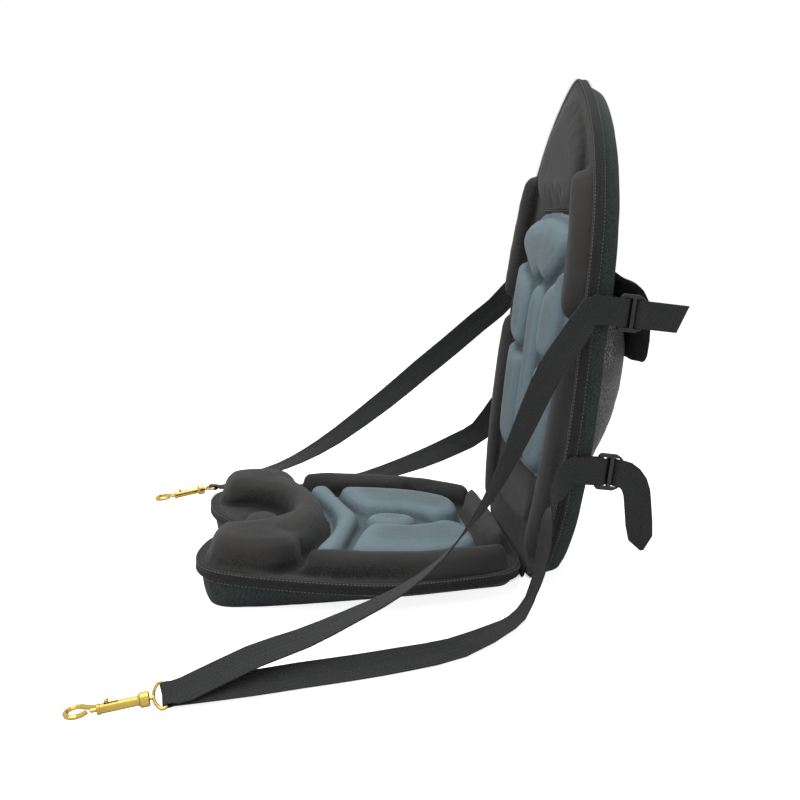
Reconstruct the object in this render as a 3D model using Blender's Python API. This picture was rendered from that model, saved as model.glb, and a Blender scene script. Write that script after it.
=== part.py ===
"""Folding kayak seat: moulded foam seat base and backrest, mesh pocket, strap harness and two swivel bolt snaps.

Metres, +Z up. The seat faces -Y and the sitter's left is +X. The origin is on the floor under the seat base.
"""

import math

import bmesh
import bpy
from mathutils import Matrix, Vector

# Seat base
SEAT_LENGTH = 0.374
HINGE_Y = 0.184
SEAT_REAR_SETBACK = 0.008
SEAT_REAR_HEIGHT = 0.021
SEAT_FRONT_HEIGHT = 0.043
SEAT_REAR_HALF = 0.142
SEAT_MID_HALF = 0.199
SEAT_FRONT_HALF = 0.160
NOTCH_DEPTH = 0.036
UNDERSIDE_FRONT_HALF = 0.158
UNDERSIDE_REAR_HALF = 0.121

# Backrest
BACK_LENGTH = 0.576
BACK_FOOT_Y = 0.193
BACK_FOOT_HEIGHT = 0.005
BACK_LEAN = math.radians(7.0)
BACK_FOOT_HALF = 0.130
BACK_LUMBAR_HALF = 0.188
BACK_SHOULDER_HALF = 0.173
BACK_DEPTH = 0.027
BACK_TUCK = 0.009

# Layers shared by both
FABRIC = 0.0016
GAP = 0.0003
PANEL_SHEET = 0.0055
RECESS_DEPTH = 0.0035
EDGE_MARGIN = 0.007
BINDING_WIDTH = 0.0045
BINDING_OUT = 0.0027
BINDING_BELOW = 0.006
BINDING_ABOVE = 0.006
STIFFENER = 0.002
HINGE_TAPE = 0.0016
HINGE_HALF = 0.098
OUTLINE_STEPS = 2

# Raised pads, measured from the binding plane
LOBE_HEIGHT = 0.040
DOME_HEIGHT = 0.018
SEAT_BOLSTER_HEIGHT = 0.033
REAR_PAD_HEIGHT = 0.036
SEAT_GREY_HEIGHT = 0.024
BACK_BOLSTER_HEIGHT = 0.024
LUMBAR_BOLSTER_HEIGHT = 0.019
BACK_GREY_HEIGHT = 0.020
LUMBAR_GREY_HEIGHT = 0.017
HEADREST_HEIGHT = 0.014
FOOT_PAD_HEIGHT = 0.011

# Harness
WEB_WIDTH = 0.030
WEB_THICKNESS = 0.0016
EYE_WEB_WIDTH = 0.024
UPPER_ANCHOR_T = 0.322
LOWER_ANCHOR_T = 0.150

# Ladder-lock buckles
BUCKLE_RAIL = 0.0042
BUCKLE_BAR = 0.0042
BUCKLE_THICK = 0.0044
BUCKLE_SLOT_FRONT = 0.0092
BUCKLE_SLOT_REAR = 0.0072
BUCKLE_IN = 0.0085
BUCKLE_BACK = 0.006

# Swivel bolt snaps
COLLAR_RADIUS = 0.0068
COLLAR_LENGTH = 0.009
BARREL_RADIUS = 0.0044
BARREL_LENGTH = 0.036
BORE_START = 0.0120
BORE_RADIUS = 0.0024
BOLT_START = 0.026
BOLT_RADIUS = 0.0019
BOLT_OUT = 0.0057
BOLT_TRAVEL = 0.0075
KNOB_PLACE = 0.0360
KNOB_RADIUS = 0.0016
KNOB_HEIGHT = 0.0085
HOOK_WIRE = 0.0023
HOOK_RADIUS = 0.0095
STEM_RADIUS = 0.0020
STEM_HEAD_RADIUS = 0.0032
STEM_HEAD_START = 0.0045
STEM_END = 0.0070
EYE_WIRE = 0.0016
EYE_BAR = -0.013
SPRING_TURNS = 6
SPRING_WIRE = 0.00035
SPRING_RADIUS = 0.0016
SNAP_PITCH = math.radians(6.0)
SNAP_HEIGHT = 0.0105

# Rear pocket: depth of the bag behind the rear face at each height
POCKET_TOP_T = 0.335
POCKET_HALF = 0.135
POCKET_SHEET = 0.0015
POCKET_BAND = 0.022
POCKET_ROWS = (
    (0.122, 0.0), (0.130, 0.017), (0.145, 0.032), (0.170, 0.042), (0.205, 0.047), (0.250, 0.047), (0.290, 0.045),
    (POCKET_TOP_T - POCKET_BAND, 0.040), (POCKET_TOP_T, 0.036),
)
FLAP_TOP_T = 0.366
FLAP_HALF = 0.140
FLAP_SHEET = 0.0035

# How the harness lies: place of each eye, heading of its snap, tilt of the eye bar, heading of the webbing there
LEFT_EYE = (0.384, -0.209)
LEFT_YAW = math.radians(9.3)
LEFT_TILT = math.radians(-25.0)
LEFT_APPROACH = math.radians(22.0)
RIGHT_EYE = (-0.309, -0.217)
RIGHT_YAW = math.radians(19.0)
RIGHT_TILT = math.radians(8.0)
RIGHT_APPROACH = math.radians(-14.0)
GATHER = 0.012
UPPER_TAIL = 0.075
RUN_STEPS = 2

# Each run of webbing: share of the way from the back to the eye, offsets outwards and up, width direction, width
LEFT_UPPER_RUN = (
    (0.053, -0.0037, -0.0126, 0.05, -0.72, 0.69, 0.030),
    (0.114, -0.0057, -0.0251, 0.12, -0.74, 0.66, 0.030),
    (0.165, -0.0056, -0.0473, 0.30, -0.73, 0.61, 0.030),
    (0.218, -0.0054, -0.0738, 0.56, -0.63, 0.53, 0.030),
    (0.277, -0.0049, -0.0964, 0.78, -0.43, 0.46, 0.030),
    (0.339, -0.0050, -0.1082, 0.91, -0.20, 0.36, 0.030),
    (0.410, -0.0052, -0.1139, 0.96, -0.08, 0.25, 0.030),
    (0.512, -0.0052, -0.1056, 0.99, 0.00, 0.10, 0.030),
    (0.635, -0.0054, -0.0828, 0.99, 0.10, -0.05, 0.030),
    (0.751, -0.0056, -0.0582, 0.94, 0.26, -0.22, 0.030),
    (0.861, -0.0057, -0.0304, 0.89, 0.30, -0.34, 0.029),
)
LEFT_LOWER_RUN = (
    (0.039, -0.0021, -0.0183, 0.37, -0.21, 0.90, 0.030),
    (0.061, -0.0014, -0.0322, 0.76, 0.11, 0.64, 0.030),
    (0.071, -0.0015, -0.0587, 0.97, 0.22, 0.11, 0.030),
    (0.088, -0.0011, -0.0913, 0.97, 0.16, 0.21, 0.030),
    (0.114, -0.0008, -0.1146, 0.95, 0.10, 0.30, 0.030),
    (0.155, 0.0081, -0.1208, 0.94, 0.20, 0.27, 0.030),
    (0.209, 0.0212, -0.1166, 0.95, 0.31, 0.10, 0.030),
    (0.352, 0.0408, -0.0970, 0.87, 0.42, -0.25, 0.030),
    (0.491, 0.0373, -0.0765, 0.88, 0.30, -0.38, 0.030),
    (0.622, 0.0282, -0.0575, 0.90, 0.20, -0.40, 0.030),
    (0.745, 0.0176, -0.0394, 0.88, 0.25, -0.40, 0.030),
    (0.862, 0.0091, -0.0222, 0.88, 0.25, -0.40, 0.029),
)
RIGHT_UPPER_RUN = (
    (0.065, -0.0023, -0.0105, 0.05, -0.70, 0.71, 0.030),
    (0.125, -0.0046, -0.0132, 0.10, -0.70, 0.70, 0.030),
    (0.219, -0.0113, -0.0186, 0.22, -0.67, 0.71, 0.030),
    (0.315, -0.0158, -0.0232, 0.36, -0.61, 0.71, 0.030),
    (0.430, -0.0169, -0.0309, 0.57, -0.52, 0.64, 0.030),
    (0.596, -0.0154, -0.0365, 0.80, -0.31, 0.51, 0.030),
    (0.717, -0.0142, -0.0327, 0.94, -0.12, 0.31, 0.030),
    (0.813, -0.0134, -0.0230, 0.99, -0.05, 0.12, 0.030),
    (0.921, -0.0113, -0.0064, 1.00, -0.05, 0.00, 0.029),
)
RIGHT_LOWER_RUN = (
    (0.066, -0.0029, -0.0285, 0.20, -0.25, 0.95, 0.030),
    (0.153, -0.0065, -0.0370, 0.46, -0.20, 0.87, 0.030),
    (0.277, -0.0174, -0.0412, 0.72, -0.15, 0.68, 0.030),
    (0.418, -0.0163, -0.0440, 0.92, -0.10, 0.37, 0.030),
    (0.552, -0.0136, -0.0418, 0.99, 0.00, 0.15, 0.030),
    (0.715, -0.0132, -0.0316, 1.00, 0.00, 0.05, 0.030),
    (0.877, -0.0127, -0.0174, 1.00, -0.05, -0.05, 0.029),
)
SLIVER = 0.0001  # edges shorter than this go after a boolean
SEAT_TILT = math.asin((SEAT_FRONT_HEIGHT - SEAT_REAR_HEIGHT) / SEAT_LENGTH)

COLOURS = {
    "black_fabric": ((0.030, 0.028, 0.027), 0.85, 0.0),
    "gusset_fabric": ((0.022, 0.030, 0.029), 0.9, 0.0),
    "grey_fabric": ((0.165, 0.225, 0.255), 0.8, 0.0),
    "binding_tape": ((0.020, 0.020, 0.020), 0.75, 0.0),
    "webbing": ((0.036, 0.038, 0.038), 0.8, 0.0),
    "foam": ((0.10, 0.10, 0.10), 0.95, 0.0),
    "plastic": ((0.022, 0.022, 0.023), 0.4, 0.0),
    "pocket_mesh": ((0.32, 0.32, 0.31), 0.6, 0.0),
    "stiffener_sheet": ((0.55, 0.55, 0.52), 0.5, 0.0),
    "brass": ((0.78, 0.57, 0.20), 0.25, 1.0),
    "spring_steel": ((0.55, 0.55, 0.55), 0.3, 1.0),
}


def clear_scene():
    for obj in list(bpy.data.objects):
        bpy.data.objects.remove(obj, do_unlink=True)


def material(name, finish):
    colour, roughness, metallic = COLOURS[finish]
    made = bpy.data.materials.new(name)
    made.use_nodes = True
    shader = made.node_tree.nodes["Principled BSDF"]
    shader.inputs["Base Color"].default_value = (*colour, 1)
    shader.inputs["Roughness"].default_value = roughness
    shader.inputs["Metallic"].default_value = metallic
    return made


def empty(name, matrix):
    made = bpy.data.objects.new(name, None)
    bpy.context.scene.collection.objects.link(made)
    made.matrix_world = matrix
    return made


def piece(name, bm, finish=None, parent=None, smooth_angle=35):
    """An object from a bmesh, with its own material, under a parent's frame."""
    bmesh.ops.recalc_face_normals(bm, faces=bm.faces)
    mesh = bpy.data.meshes.new(name)
    bm.to_mesh(mesh)
    bm.free()
    mesh.shade_smooth()
    mesh.set_sharp_from_angle(angle=math.radians(smooth_angle))
    obj = bpy.data.objects.new(name, mesh)
    bpy.context.scene.collection.objects.link(obj)
    obj.parent = parent
    if finish:
        mesh.materials.append(material(name, finish))
    return obj


def rounder_triangles(mesh):
    """Splits a boolean's faces into triangles that are as wide as they can be."""
    bm = bmesh.new()
    bm.from_mesh(mesh)
    bmesh.ops.dissolve_degenerate(bm, edges=bm.edges, dist=SLIVER)
    bmesh.ops.triangulate(bm, faces=bm.faces, quad_method="BEAUTY", ngon_method="BEAUTY")
    bm.to_mesh(mesh)
    bm.free()


def combine(target, tools, operation):
    """Joins tools to the target, or cuts them from it, and removes them."""
    for tool in tools:
        tool.parent = target.parent
        change = target.modifiers.new(operation.title(), "BOOLEAN")
        change.operation = operation
        change.solver = "EXACT"
        change.object = tool
    bpy.context.view_layer.update()
    graph = bpy.context.evaluated_depsgraph_get()
    mesh = bpy.data.meshes.new_from_object(target.evaluated_get(graph))
    target.modifiers.clear()
    target.data = mesh
    rounder_triangles(mesh)
    mesh.set_sharp_from_angle(angle=math.radians(35))
    for tool in tools:
        bpy.data.objects.remove(tool, do_unlink=True)
    return target


def smooth(points, per_span, closed=True):
    """Points on a Catmull-Rom curve through a few control points, which may hold any number of values."""
    count = len(points)
    spans = count if closed else count - 1
    made = []
    for i in range(spans):
        before, a, b, after = (
            Vector(points[j % count] if closed else points[min(max(j, 0), count - 1)])
            for j in (i - 1, i, i + 1, i + 2)
        )
        for k in range(per_span):
            s = k / per_span
            made.append(
                0.5 * (2 * a + (b - before) * s + (2 * before - 5 * a + 4 * b - after) * s * s
                       + (3 * a - before - 3 * b + after) * s ** 3)
            )
    if not closed:
        made.append(Vector(points[-1]))
    return made


def mirrored(half):
    """A closed symmetric outline from its right half, whose ends lie on the centre line."""
    return list(half) + [(-x, y) for x, y in reversed(half) if abs(x) > 1e-6]


def outward_normals(loop):
    area = sum(a.x * b.y - b.x * a.y for a, b in zip(loop, loop[1:] + loop[:1]))
    turn = 1 if area > 0 else -1
    normals = []
    for i, point in enumerate(loop):
        along = loop[(i + 1) % len(loop)] - loop[i - 1]
        normals.append(Vector((along.y, -along.x)).normalized() * turn)
    return normals


def half_width(loop, along):
    """Half the width of a symmetric outline at a place along it."""
    widths = []
    for a, b in zip(loop, loop[1:] + loop[:1]):
        if (a.y - along) * (b.y - along) <= 0 and a.y != b.y:
            widths.append(abs(a.x + (b.x - a.x) * (along - a.y) / (b.y - a.y)))
    return max(widths)


def placer(loop, length):
    """Turns shares of the half-width beside each point, and of the length, into points within an outline."""
    def place(shares):
        return [(across * half_width(loop, along * length), along * length) for across, along in shares]
    return place


def inset(loop, distance):
    return [p - n * distance for p, n in zip(loop, outward_normals(loop))]


def raised(loop, height):
    """The loop as a ring of 3D points; height is a number or a function of the point."""
    return [Vector((p.x, p.y, height(p) if callable(height) else height)) for p in loop]


def loft(rings, caps=True):
    """A body through rings of equal count."""
    bm = bmesh.new()
    rows = [[bm.verts.new(p) for p in ring] for ring in rings]
    for lower, upper in zip(rows, rows[1:]):
        for i in range(len(lower)):
            j = (i + 1) % len(lower)
            bm.faces.new((lower[i], lower[j], upper[j], upper[i]))
    if caps:
        bm.faces.new(rows[0])
        bm.faces.new(rows[-1])
    else:
        for i in range(len(rows[0])):
            j = (i + 1) % len(rows[0])
            bm.faces.new((rows[-1][i], rows[-1][j], rows[0][j], rows[0][i]))
    return bm


def pad(outline, foot, top, edge, per_span=2):
    """A moulded pillow: upright foot, rounded shoulder and a flat crown."""
    loop = smooth([Vector(p) for p in outline], per_span)
    rings = [raised(loop, foot)]
    for step in range(3):
        angle = math.radians(16 + 35 * step)
        inward = edge * (1 - math.cos(angle))
        rings.append(raised(inset(loop, inward), foot + (top - foot) * math.sin(angle)))
    return piece("pad", loft(rings))


def plate(loop, low, high):
    return piece("plate", loft([raised(loop, low), raised(loop, high)]))


def flip(outline):
    return [(-x, y) for x, y in outline]


def seat_outline():
    """Binding line of the seat base, measured forwards (-y) from the hinge line, with the notch between the lobes."""
    rear, mid, front, far = SEAT_REAR_HALF, SEAT_MID_HALF, SEAT_FRONT_HALF, SEAT_LENGTH
    edge = -SEAT_REAR_SETBACK
    return mirrored([
        (0, edge),
        (rear * 0.75, edge - 0.001),
        (rear, edge - 0.012),
        (rear * 0.55 + mid * 0.45, -far * 0.16),
        (mid, -far * 0.42),
        (mid, -far * 0.60),
        (mid * 0.72 + front * 0.28, -far * 0.78),
        (front * 1.08, -far * 0.92),
        (front * 0.92, -far * 0.99),
        (front * 0.60, -far),
        (front * 0.28, -far + NOTCH_DEPTH * 0.35),
        (0, -far + NOTCH_DEPTH),
    ])


def underside_outline():
    """Edge of the flat underside, matched point by point to the binding line."""
    rear, front, far = UNDERSIDE_REAR_HALF, UNDERSIDE_FRONT_HALF, SEAT_LENGTH
    edge = -SEAT_REAR_SETBACK
    return mirrored([
        (0, edge - 0.006),
        (rear * 0.75, edge - 0.007),
        (rear, edge - 0.018),
        (rear, -far * 0.17),
        (rear * 0.85 + front * 0.15, -far * 0.35),
        (rear * 0.30 + front * 0.70, -far * 0.55),
        (front, -far * 0.75),
        (front, -far * 0.90),
        (front * 0.88, -far * 0.962),
        (front * 0.60, -far * 0.97),
        (front * 0.28, -far * 0.97 + NOTCH_DEPTH * 0.35),
        (0, -far * 0.97 + NOTCH_DEPTH),
    ])


def back_outline():
    """Binding line of the backrest, a pointed arch: foot at y = 0, apex at y = BACK_LENGTH."""
    foot, lumbar, shoulder, high = BACK_FOOT_HALF, BACK_LUMBAR_HALF, BACK_SHOULDER_HALF, BACK_LENGTH
    return mirrored([
        (0, 0),
        (foot * 0.75, 0.001),
        (foot, 0.012),
        (foot * 0.5 + lumbar * 0.5, high * 0.085),
        (lumbar * 0.96, high * 0.18),
        (lumbar, high * 0.33),
        (lumbar * 0.5 + shoulder * 0.5, high * 0.48),
        (shoulder, high * 0.61),
        (shoulder * 0.93, high * 0.712),
        (shoulder * 0.80, high * 0.80),
        (shoulder * 0.60, high * 0.885),
        (shoulder * 0.35, high * 0.95),
        (shoulder * 0.14, high * 0.988),
        (0, high),
    ])


def floor_level(clearance):
    """Height of the floor, in the tilted frame of the seat, plus a clearance."""
    def level(point):
        rise = SEAT_REAR_HEIGHT - point.y * math.sin(SEAT_TILT)
        return (clearance - rise) / math.cos(SEAT_TILT)
    return level


def bowl_rings(top_loop, bottom_loop, top, bottom, shrink):
    """Rings from the rim to the bottom of a fabric cover: steep beside the rim, then rounding inwards."""
    rings = []
    for inward, down in ((0.0, 0.0), (0.10, 0.35), (0.38, 0.68), (0.75, 0.93), (1.0, 1.0)):
        ring = []
        for a, b in zip(inset(top_loop, shrink), inset(bottom_loop, shrink)):
            flat = a.lerp(b, inward)
            low = bottom(flat) if callable(bottom) else bottom
            ring.append(Vector((flat.x, flat.y, top + (low - top) * down)))
        rings.append(ring)
    return rings


def cover_tray(name, top_loop, bottom_loop, bottom, inner_bottom, parent):
    """Fabric cover open at the top: outer shell, rim and inner shell."""
    outer = bowl_rings(top_loop, bottom_loop, -GAP, bottom, EDGE_MARGIN - 0.003)
    inner = bowl_rings(top_loop, bottom_loop, -GAP, inner_bottom, EDGE_MARGIN - 0.003 + FABRIC)
    return piece(name, loft(list(reversed(outer)) + inner), "gusset_fabric", parent)


def binding(name, loop, parent):
    """Folded tape round the edge, with a ridge above and below the seam."""
    inner = EDGE_MARGIN - 0.0034
    profile = [
        (inner, -BINDING_BELOW),
        (inner - BINDING_WIDTH, -BINDING_BELOW * 0.9),
        (inner - BINDING_WIDTH * 1.35, -BINDING_BELOW * 0.5),
        (inner - BINDING_WIDTH * 0.9, 0.0),
        (inner - BINDING_WIDTH * 1.35, BINDING_ABOVE * 0.5),
        (inner - BINDING_WIDTH, BINDING_ABOVE * 0.9),
        (inner, BINDING_ABOVE),
    ]
    rings = [raised(inset(loop, inward), height) for inward, height in profile]
    return piece(name, loft(rings, caps=False), "binding_tape", parent)


def seat_recess(place):
    return place(mirrored([
        (0, 0.126), (0.371, 0.126), (0.601, 0.134), (0.718, 0.176), (0.755, 0.281), (0.73, 0.401),
        (0.722, 0.548), (0.75, 0.636), (0.711, 0.675), (0.614, 0.675), (0.431, 0.639), (0.227, 0.608),
        (0, 0.595),
    ]))


def seat_black_pads(place):
    lobes = mirrored([
        (0, 0.608), (0.242, 0.623), (0.448, 0.658), (0.618, 0.694), (0.754, 0.705), (0.852, 0.738),
        (0.924, 0.802), (0.939, 0.901), (0.897, 0.96), (0.7, 0.968), (0.5, 0.941), (0.434, 0.872),
        (0.331, 0.791), (0.167, 0.738), (0, 0.722),
    ])
    dome = [(0, 0.88), (0.111, 0.869), (0.162, 0.818), (0.106, 0.767), (0, 0.751),
            (-0.106, 0.767), (-0.162, 0.818), (-0.111, 0.869)]
    bolster = [
        (0.853, 0.69), (0.924, 0.62), (0.933, 0.481), (0.971, 0.307), (0.951, 0.171), (0.915, 0.086),
        (0.863, 0.064), (0.752, 0.091), (0.756, 0.171), (0.786, 0.294), (0.763, 0.428), (0.767, 0.588),
        (0.791, 0.668),
    ]
    rear = mirrored([(0, 0.048), (0.427, 0.051), (0.671, 0.056), (0.692, 0.08), (0.607, 0.107), (0.375, 0.115),
                     (0, 0.115)])
    foot = PANEL_SHEET - 0.002
    return [
        pad(place(lobes), foot, LOBE_HEIGHT, 0.016),
        pad(place(dome), foot, DOME_HEIGHT, 0.013),
        pad(place(bolster), foot, SEAT_BOLSTER_HEIGHT, 0.014),
        pad(flip(place(bolster)), foot, SEAT_BOLSTER_HEIGHT, 0.014),
        pad(place(rear), foot, REAR_PAD_HEIGHT, 0.009),
    ]


def seat_grey_pads(place):
    arch = mirrored([
        (0, 0.5), (0.119, 0.513), (0.298, 0.537), (0.499, 0.561), (0.65, 0.575), (0.709, 0.604),
        (0.691, 0.65), (0.6, 0.652), (0.429, 0.62), (0.226, 0.591), (0, 0.58),
    ])
    long_pad = [
        (0.223, 0.492), (0.447, 0.529), (0.628, 0.551), (0.681, 0.519), (0.7, 0.401), (0.712, 0.281),
        (0.656, 0.193), (0.534, 0.144), (0.279, 0.144), (0.112, 0.171), (0.062, 0.235), (0.13, 0.283),
        (0.177, 0.353), (0.17, 0.441),
    ]
    oval = [(0, 0.481), (0.09, 0.46), (0.132, 0.396), (0.1, 0.326), (0, 0.302),
            (-0.1, 0.326), (-0.132, 0.396), (-0.09, 0.46)]
    foot = PANEL_SHEET - 0.002
    return [
        pad(place(arch), foot, SEAT_GREY_HEIGHT, 0.010),
        pad(place(long_pad), foot, SEAT_GREY_HEIGHT + 0.001, 0.012),
        pad(flip(place(long_pad)), foot, SEAT_GREY_HEIGHT + 0.001, 0.012),
        pad(place(oval), foot, SEAT_GREY_HEIGHT - 0.003, 0.012),
    ]


def back_recess(place):
    return place(mirrored([
        (0, 0.194), (0.33, 0.194), (0.536, 0.205), (0.619, 0.252), (0.645, 0.347), (0.673, 0.469), (0.678, 0.573),
        (0.654, 0.66), (0.549, 0.715), (0.287, 0.731), (0, 0.733),
    ]))


def back_black_pads(place):
    lower = [
        (0.887, 0.052), (0.909, 0.094), (0.919, 0.174), (0.935, 0.278), (0.946, 0.391), (0.934, 0.472),
        (0.873, 0.495), (0.782, 0.483), (0.718, 0.425), (0.693, 0.312), (0.68, 0.217), (0.651, 0.139),
        (0.669, 0.083), (0.777, 0.052),
    ]
    upper = [
        (0.82, 0.528), (0.919, 0.542), (0.953, 0.608), (0.949, 0.703), (0.943, 0.781), (0.881, 0.813),
        (0.762, 0.806), (0.695, 0.767), (0.715, 0.694), (0.731, 0.616), (0.736, 0.556),
    ]
    head = mirrored([
        (0, 0.748), (0.327, 0.75), (0.535, 0.762), (0.679, 0.795), (0.736, 0.844), (0.70, 0.900), (0.56, 0.945),
        (0, 0.970),
    ])
    foot_pad = mirrored([(0, 0.087), (0.312, 0.089), (0.507, 0.101), (0.535, 0.132), (0.471, 0.167), (0.277, 0.179),
                         (0, 0.179)])
    foot = PANEL_SHEET - 0.002
    return [
        pad(place(lower), foot, LUMBAR_BOLSTER_HEIGHT, 0.016),
        pad(flip(place(lower)), foot, LUMBAR_BOLSTER_HEIGHT, 0.016),
        pad(place(upper), foot, BACK_BOLSTER_HEIGHT, 0.014),
        pad(flip(place(upper)), foot, BACK_BOLSTER_HEIGHT, 0.014),
        pad(place(head), foot, HEADREST_HEIGHT, 0.014),
        pad(place(foot_pad), foot, FOOT_PAD_HEIGHT, 0.014),
    ]


def back_grey_pads(place):
    crown = mirrored([(0, 0.601), (0.126, 0.587), (0.265, 0.601), (0.467, 0.628), (0.599, 0.656), (0.575, 0.696),
                      (0.344, 0.717), (0, 0.722)])
    side = [
        (0.297, 0.578), (0.496, 0.604), (0.616, 0.622), (0.646, 0.582), (0.643, 0.512), (0.583, 0.458),
        (0.426, 0.438), (0.257, 0.441), (0.216, 0.477), (0.22, 0.538),
    ]
    lower = [
        (0.261, 0.424), (0.446, 0.425), (0.601, 0.439), (0.618, 0.391), (0.608, 0.295), (0.573, 0.233),
        (0.448, 0.208), (0.262, 0.208), (0.184, 0.236), (0.181, 0.33), (0.194, 0.399),
    ]
    spine = mirrored([(0, 0.21), (0.098, 0.22), (0.139, 0.278), (0.145, 0.382), (0.171, 0.469), (0.169, 0.538),
                      (0.103, 0.573), (0, 0.583)])
    foot = PANEL_SHEET - 0.002
    return [
        pad(place(crown), foot, BACK_GREY_HEIGHT, 0.012),
        pad(place(side), foot, BACK_GREY_HEIGHT, 0.012),
        pad(flip(place(side)), foot, BACK_GREY_HEIGHT, 0.012),
        pad(place(lower), foot, LUMBAR_GREY_HEIGHT, 0.013),
        pad(flip(place(lower)), foot, LUMBAR_GREY_HEIGHT, 0.013),
        pad(place(spine), foot, BACK_GREY_HEIGHT - 0.003, 0.011),
    ]


def moulded_panel(name, outline, recess, pads, parent):
    """The black moulded panel: a sheet with raised pads and a recess for the grey insert."""
    loop = inset(outline, EDGE_MARGIN)
    sheet = piece(name, loft([raised(loop, GAP), raised(loop, PANEL_SHEET)]), "black_fabric", parent)
    combine(sheet, pads, "UNION")
    cutter = plate(recess, PANEL_SHEET - RECESS_DEPTH, PANEL_SHEET + 0.002)
    return combine(sheet, [cutter], "DIFFERENCE")


def moulded_insert(name, recess, pads, parent):
    """The grey insert: a sheet that lies in the recess, with raised pads and channels between them."""
    loop = inset(recess, GAP)
    low = PANEL_SHEET - RECESS_DEPTH + GAP
    sheet = piece(name, loft([raised(loop, low), raised(loop, PANEL_SHEET)]), "grey_fabric", parent)
    return combine(sheet, pads, "UNION")


def foam_core(name, top_loop, bottom_loop, bottom, parent):
    shrink = EDGE_MARGIN - 0.003 + FABRIC + GAP
    rings = bowl_rings(top_loop, bottom_loop, -GAP, bottom, shrink)
    return piece(name, loft(rings), "foam", parent)


def build_seat(frame):
    top = smooth([Vector(p) for p in seat_outline()], OUTLINE_STEPS)
    bottom = smooth([Vector(p) for p in underside_outline()], OUTLINE_STEPS)
    place = placer(top, -SEAT_LENGTH)
    recess = smooth([Vector(p) for p in seat_recess(place)], 2)
    moulded_panel("seat_top_panel", top, recess, seat_black_pads(place), frame)
    moulded_insert("seat_grey_pad", recess, seat_grey_pads(place), frame)
    cover_tray("seat_cover_tray", top, bottom, floor_level(0), floor_level(FABRIC), frame)
    foam_core("seat_foam_core", top, bottom, floor_level(FABRIC + GAP), frame)
    binding("seat_binding", top, frame)
    return max((frame.matrix_world @ Vector((p.x, p.y, 0))).y for p in top)


def build_back(frame):
    top = smooth([Vector(p) for p in back_outline()], OUTLINE_STEPS)
    bottom = inset(top, BACK_TUCK)
    place = placer(top, BACK_LENGTH)
    recess = smooth([Vector(p) for p in back_recess(place)], 2)
    moulded_panel("back_front_panel", top, recess, back_black_pads(place), frame)
    moulded_insert("back_grey_pad", recess, back_grey_pads(place), frame)
    inner = -BACK_DEPTH + FABRIC
    cover_tray("back_cover_tray", top, bottom, -BACK_DEPTH, inner, frame)
    sheet_top = inner + GAP + STIFFENER
    sheet = inset(bottom, EDGE_MARGIN + FABRIC + 0.006)
    piece("back_stiffener", loft([raised(sheet, inner + GAP), raised(sheet, sheet_top)]), "stiffener_sheet", frame)
    foam_core("back_foam_core", top, bottom, sheet_top + GAP, frame)
    binding("back_binding", top, frame)
    return top


def hinge_strip(seat_rear, back):
    """Sewn tape in the rear corner, a U seen from the side, between the bindings of the seat and the back."""
    deep = HINGE_TAPE / 2
    near = seat_rear + BINDING_OUT + GAP + deep
    def before_back(t):
        return back @ Vector((0, t, BINDING_ABOVE + GAP + deep))
    low = before_back(0.001)
    far = low.y
    top = before_back(0.009)
    line = smooth([
        (near, SEAT_REAR_HEIGHT + BINDING_ABOVE), (near, SEAT_REAR_HEIGHT - 0.004), (near + 0.0003, low.z + 0.003),
        ((near + far) / 2, deep + 0.0018), (far - 0.0002, low.z), (top.y, top.z),
    ], 2, closed=False)
    rings = []
    for x in (-HINGE_HALF, HINGE_HALF):
        one, other = [], []
        for i, point in enumerate(line):
            along = line[min(i + 1, len(line) - 1)] - line[max(i - 1, 0)]
            off = Vector((-along.y, along.x)).normalized() * deep
            one.append(Vector((x, *(point + off))))
            other.append(Vector((x, *(point - off))))
        rings.append(one + list(reversed(other)))
    return piece("hinge_strip", loft(rings), "binding_tape")


def ribbon(name, stations, finish, cut=0.0):
    """A flat strip. A station is seven values: place, width direction and width. The first end can be cut aslant."""
    last = len(stations) - 1
    rings = []
    for i, row in enumerate(stations):
        centre = Vector(row[:3])
        along = (Vector(stations[min(i + 1, last)][:3]) - Vector(stations[max(i - 1, 0)][:3])).normalized()
        across = Vector(row[3:6])
        across = (across - along * across.dot(along)).normalized()
        half = across * row[6] / 2
        deep = along.cross(across) * WEB_THICKNESS / 2
        slant = along * cut if i == 0 else Vector((0, 0, 0))
        rings.append([centre - half - deep + slant, centre + half - deep, centre + half + deep,
                      centre - half + deep + slant])
    return piece(name, even_strip(rings), finish)


def even_strip(rings):
    """Joins rings of four corners, with both broad faces split along the same diagonal, so the thickness stays."""
    bm = bmesh.new()
    rows = [[bm.verts.new(corner) for corner in ring] for ring in rings]
    for one, two in zip(rows, rows[1:]):
        bm.faces.new((one[0], one[1], two[1]))
        bm.faces.new((one[0], two[1], two[0]))
        bm.faces.new((one[3], two[2], one[2]))
        bm.faces.new((one[3], two[3], two[2]))
        bm.faces.new((one[1], one[2], two[1]))
        bm.faces.new((one[2], two[2], two[1]))
        bm.faces.new((one[3], one[0], two[0]))
        bm.faces.new((one[3], two[0], two[3]))
    bm.faces.new(rows[0])
    bm.faces.new(list(reversed(rows[-1])))
    return bm


def tube(path, radius, sides, closed=False):
    """A round wire along a path."""
    count = len(path)
    rings = []
    side = None
    for i, point in enumerate(path):
        if closed:
            along = (path[(i + 1) % count] - path[i - 1]).normalized()
        else:
            along = (path[min(i + 1, count - 1)] - path[max(i - 1, 0)]).normalized()
        start = side or along.orthogonal()
        side = (start - along * start.dot(along)).normalized()
        other = along.cross(side)
        rings.append([
            point + (side * math.cos(turn) + other * math.sin(turn)) * radius
            for turn in (2 * math.pi * k / sides for k in range(sides))
        ])
    return loft(rings, caps=not closed)


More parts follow.
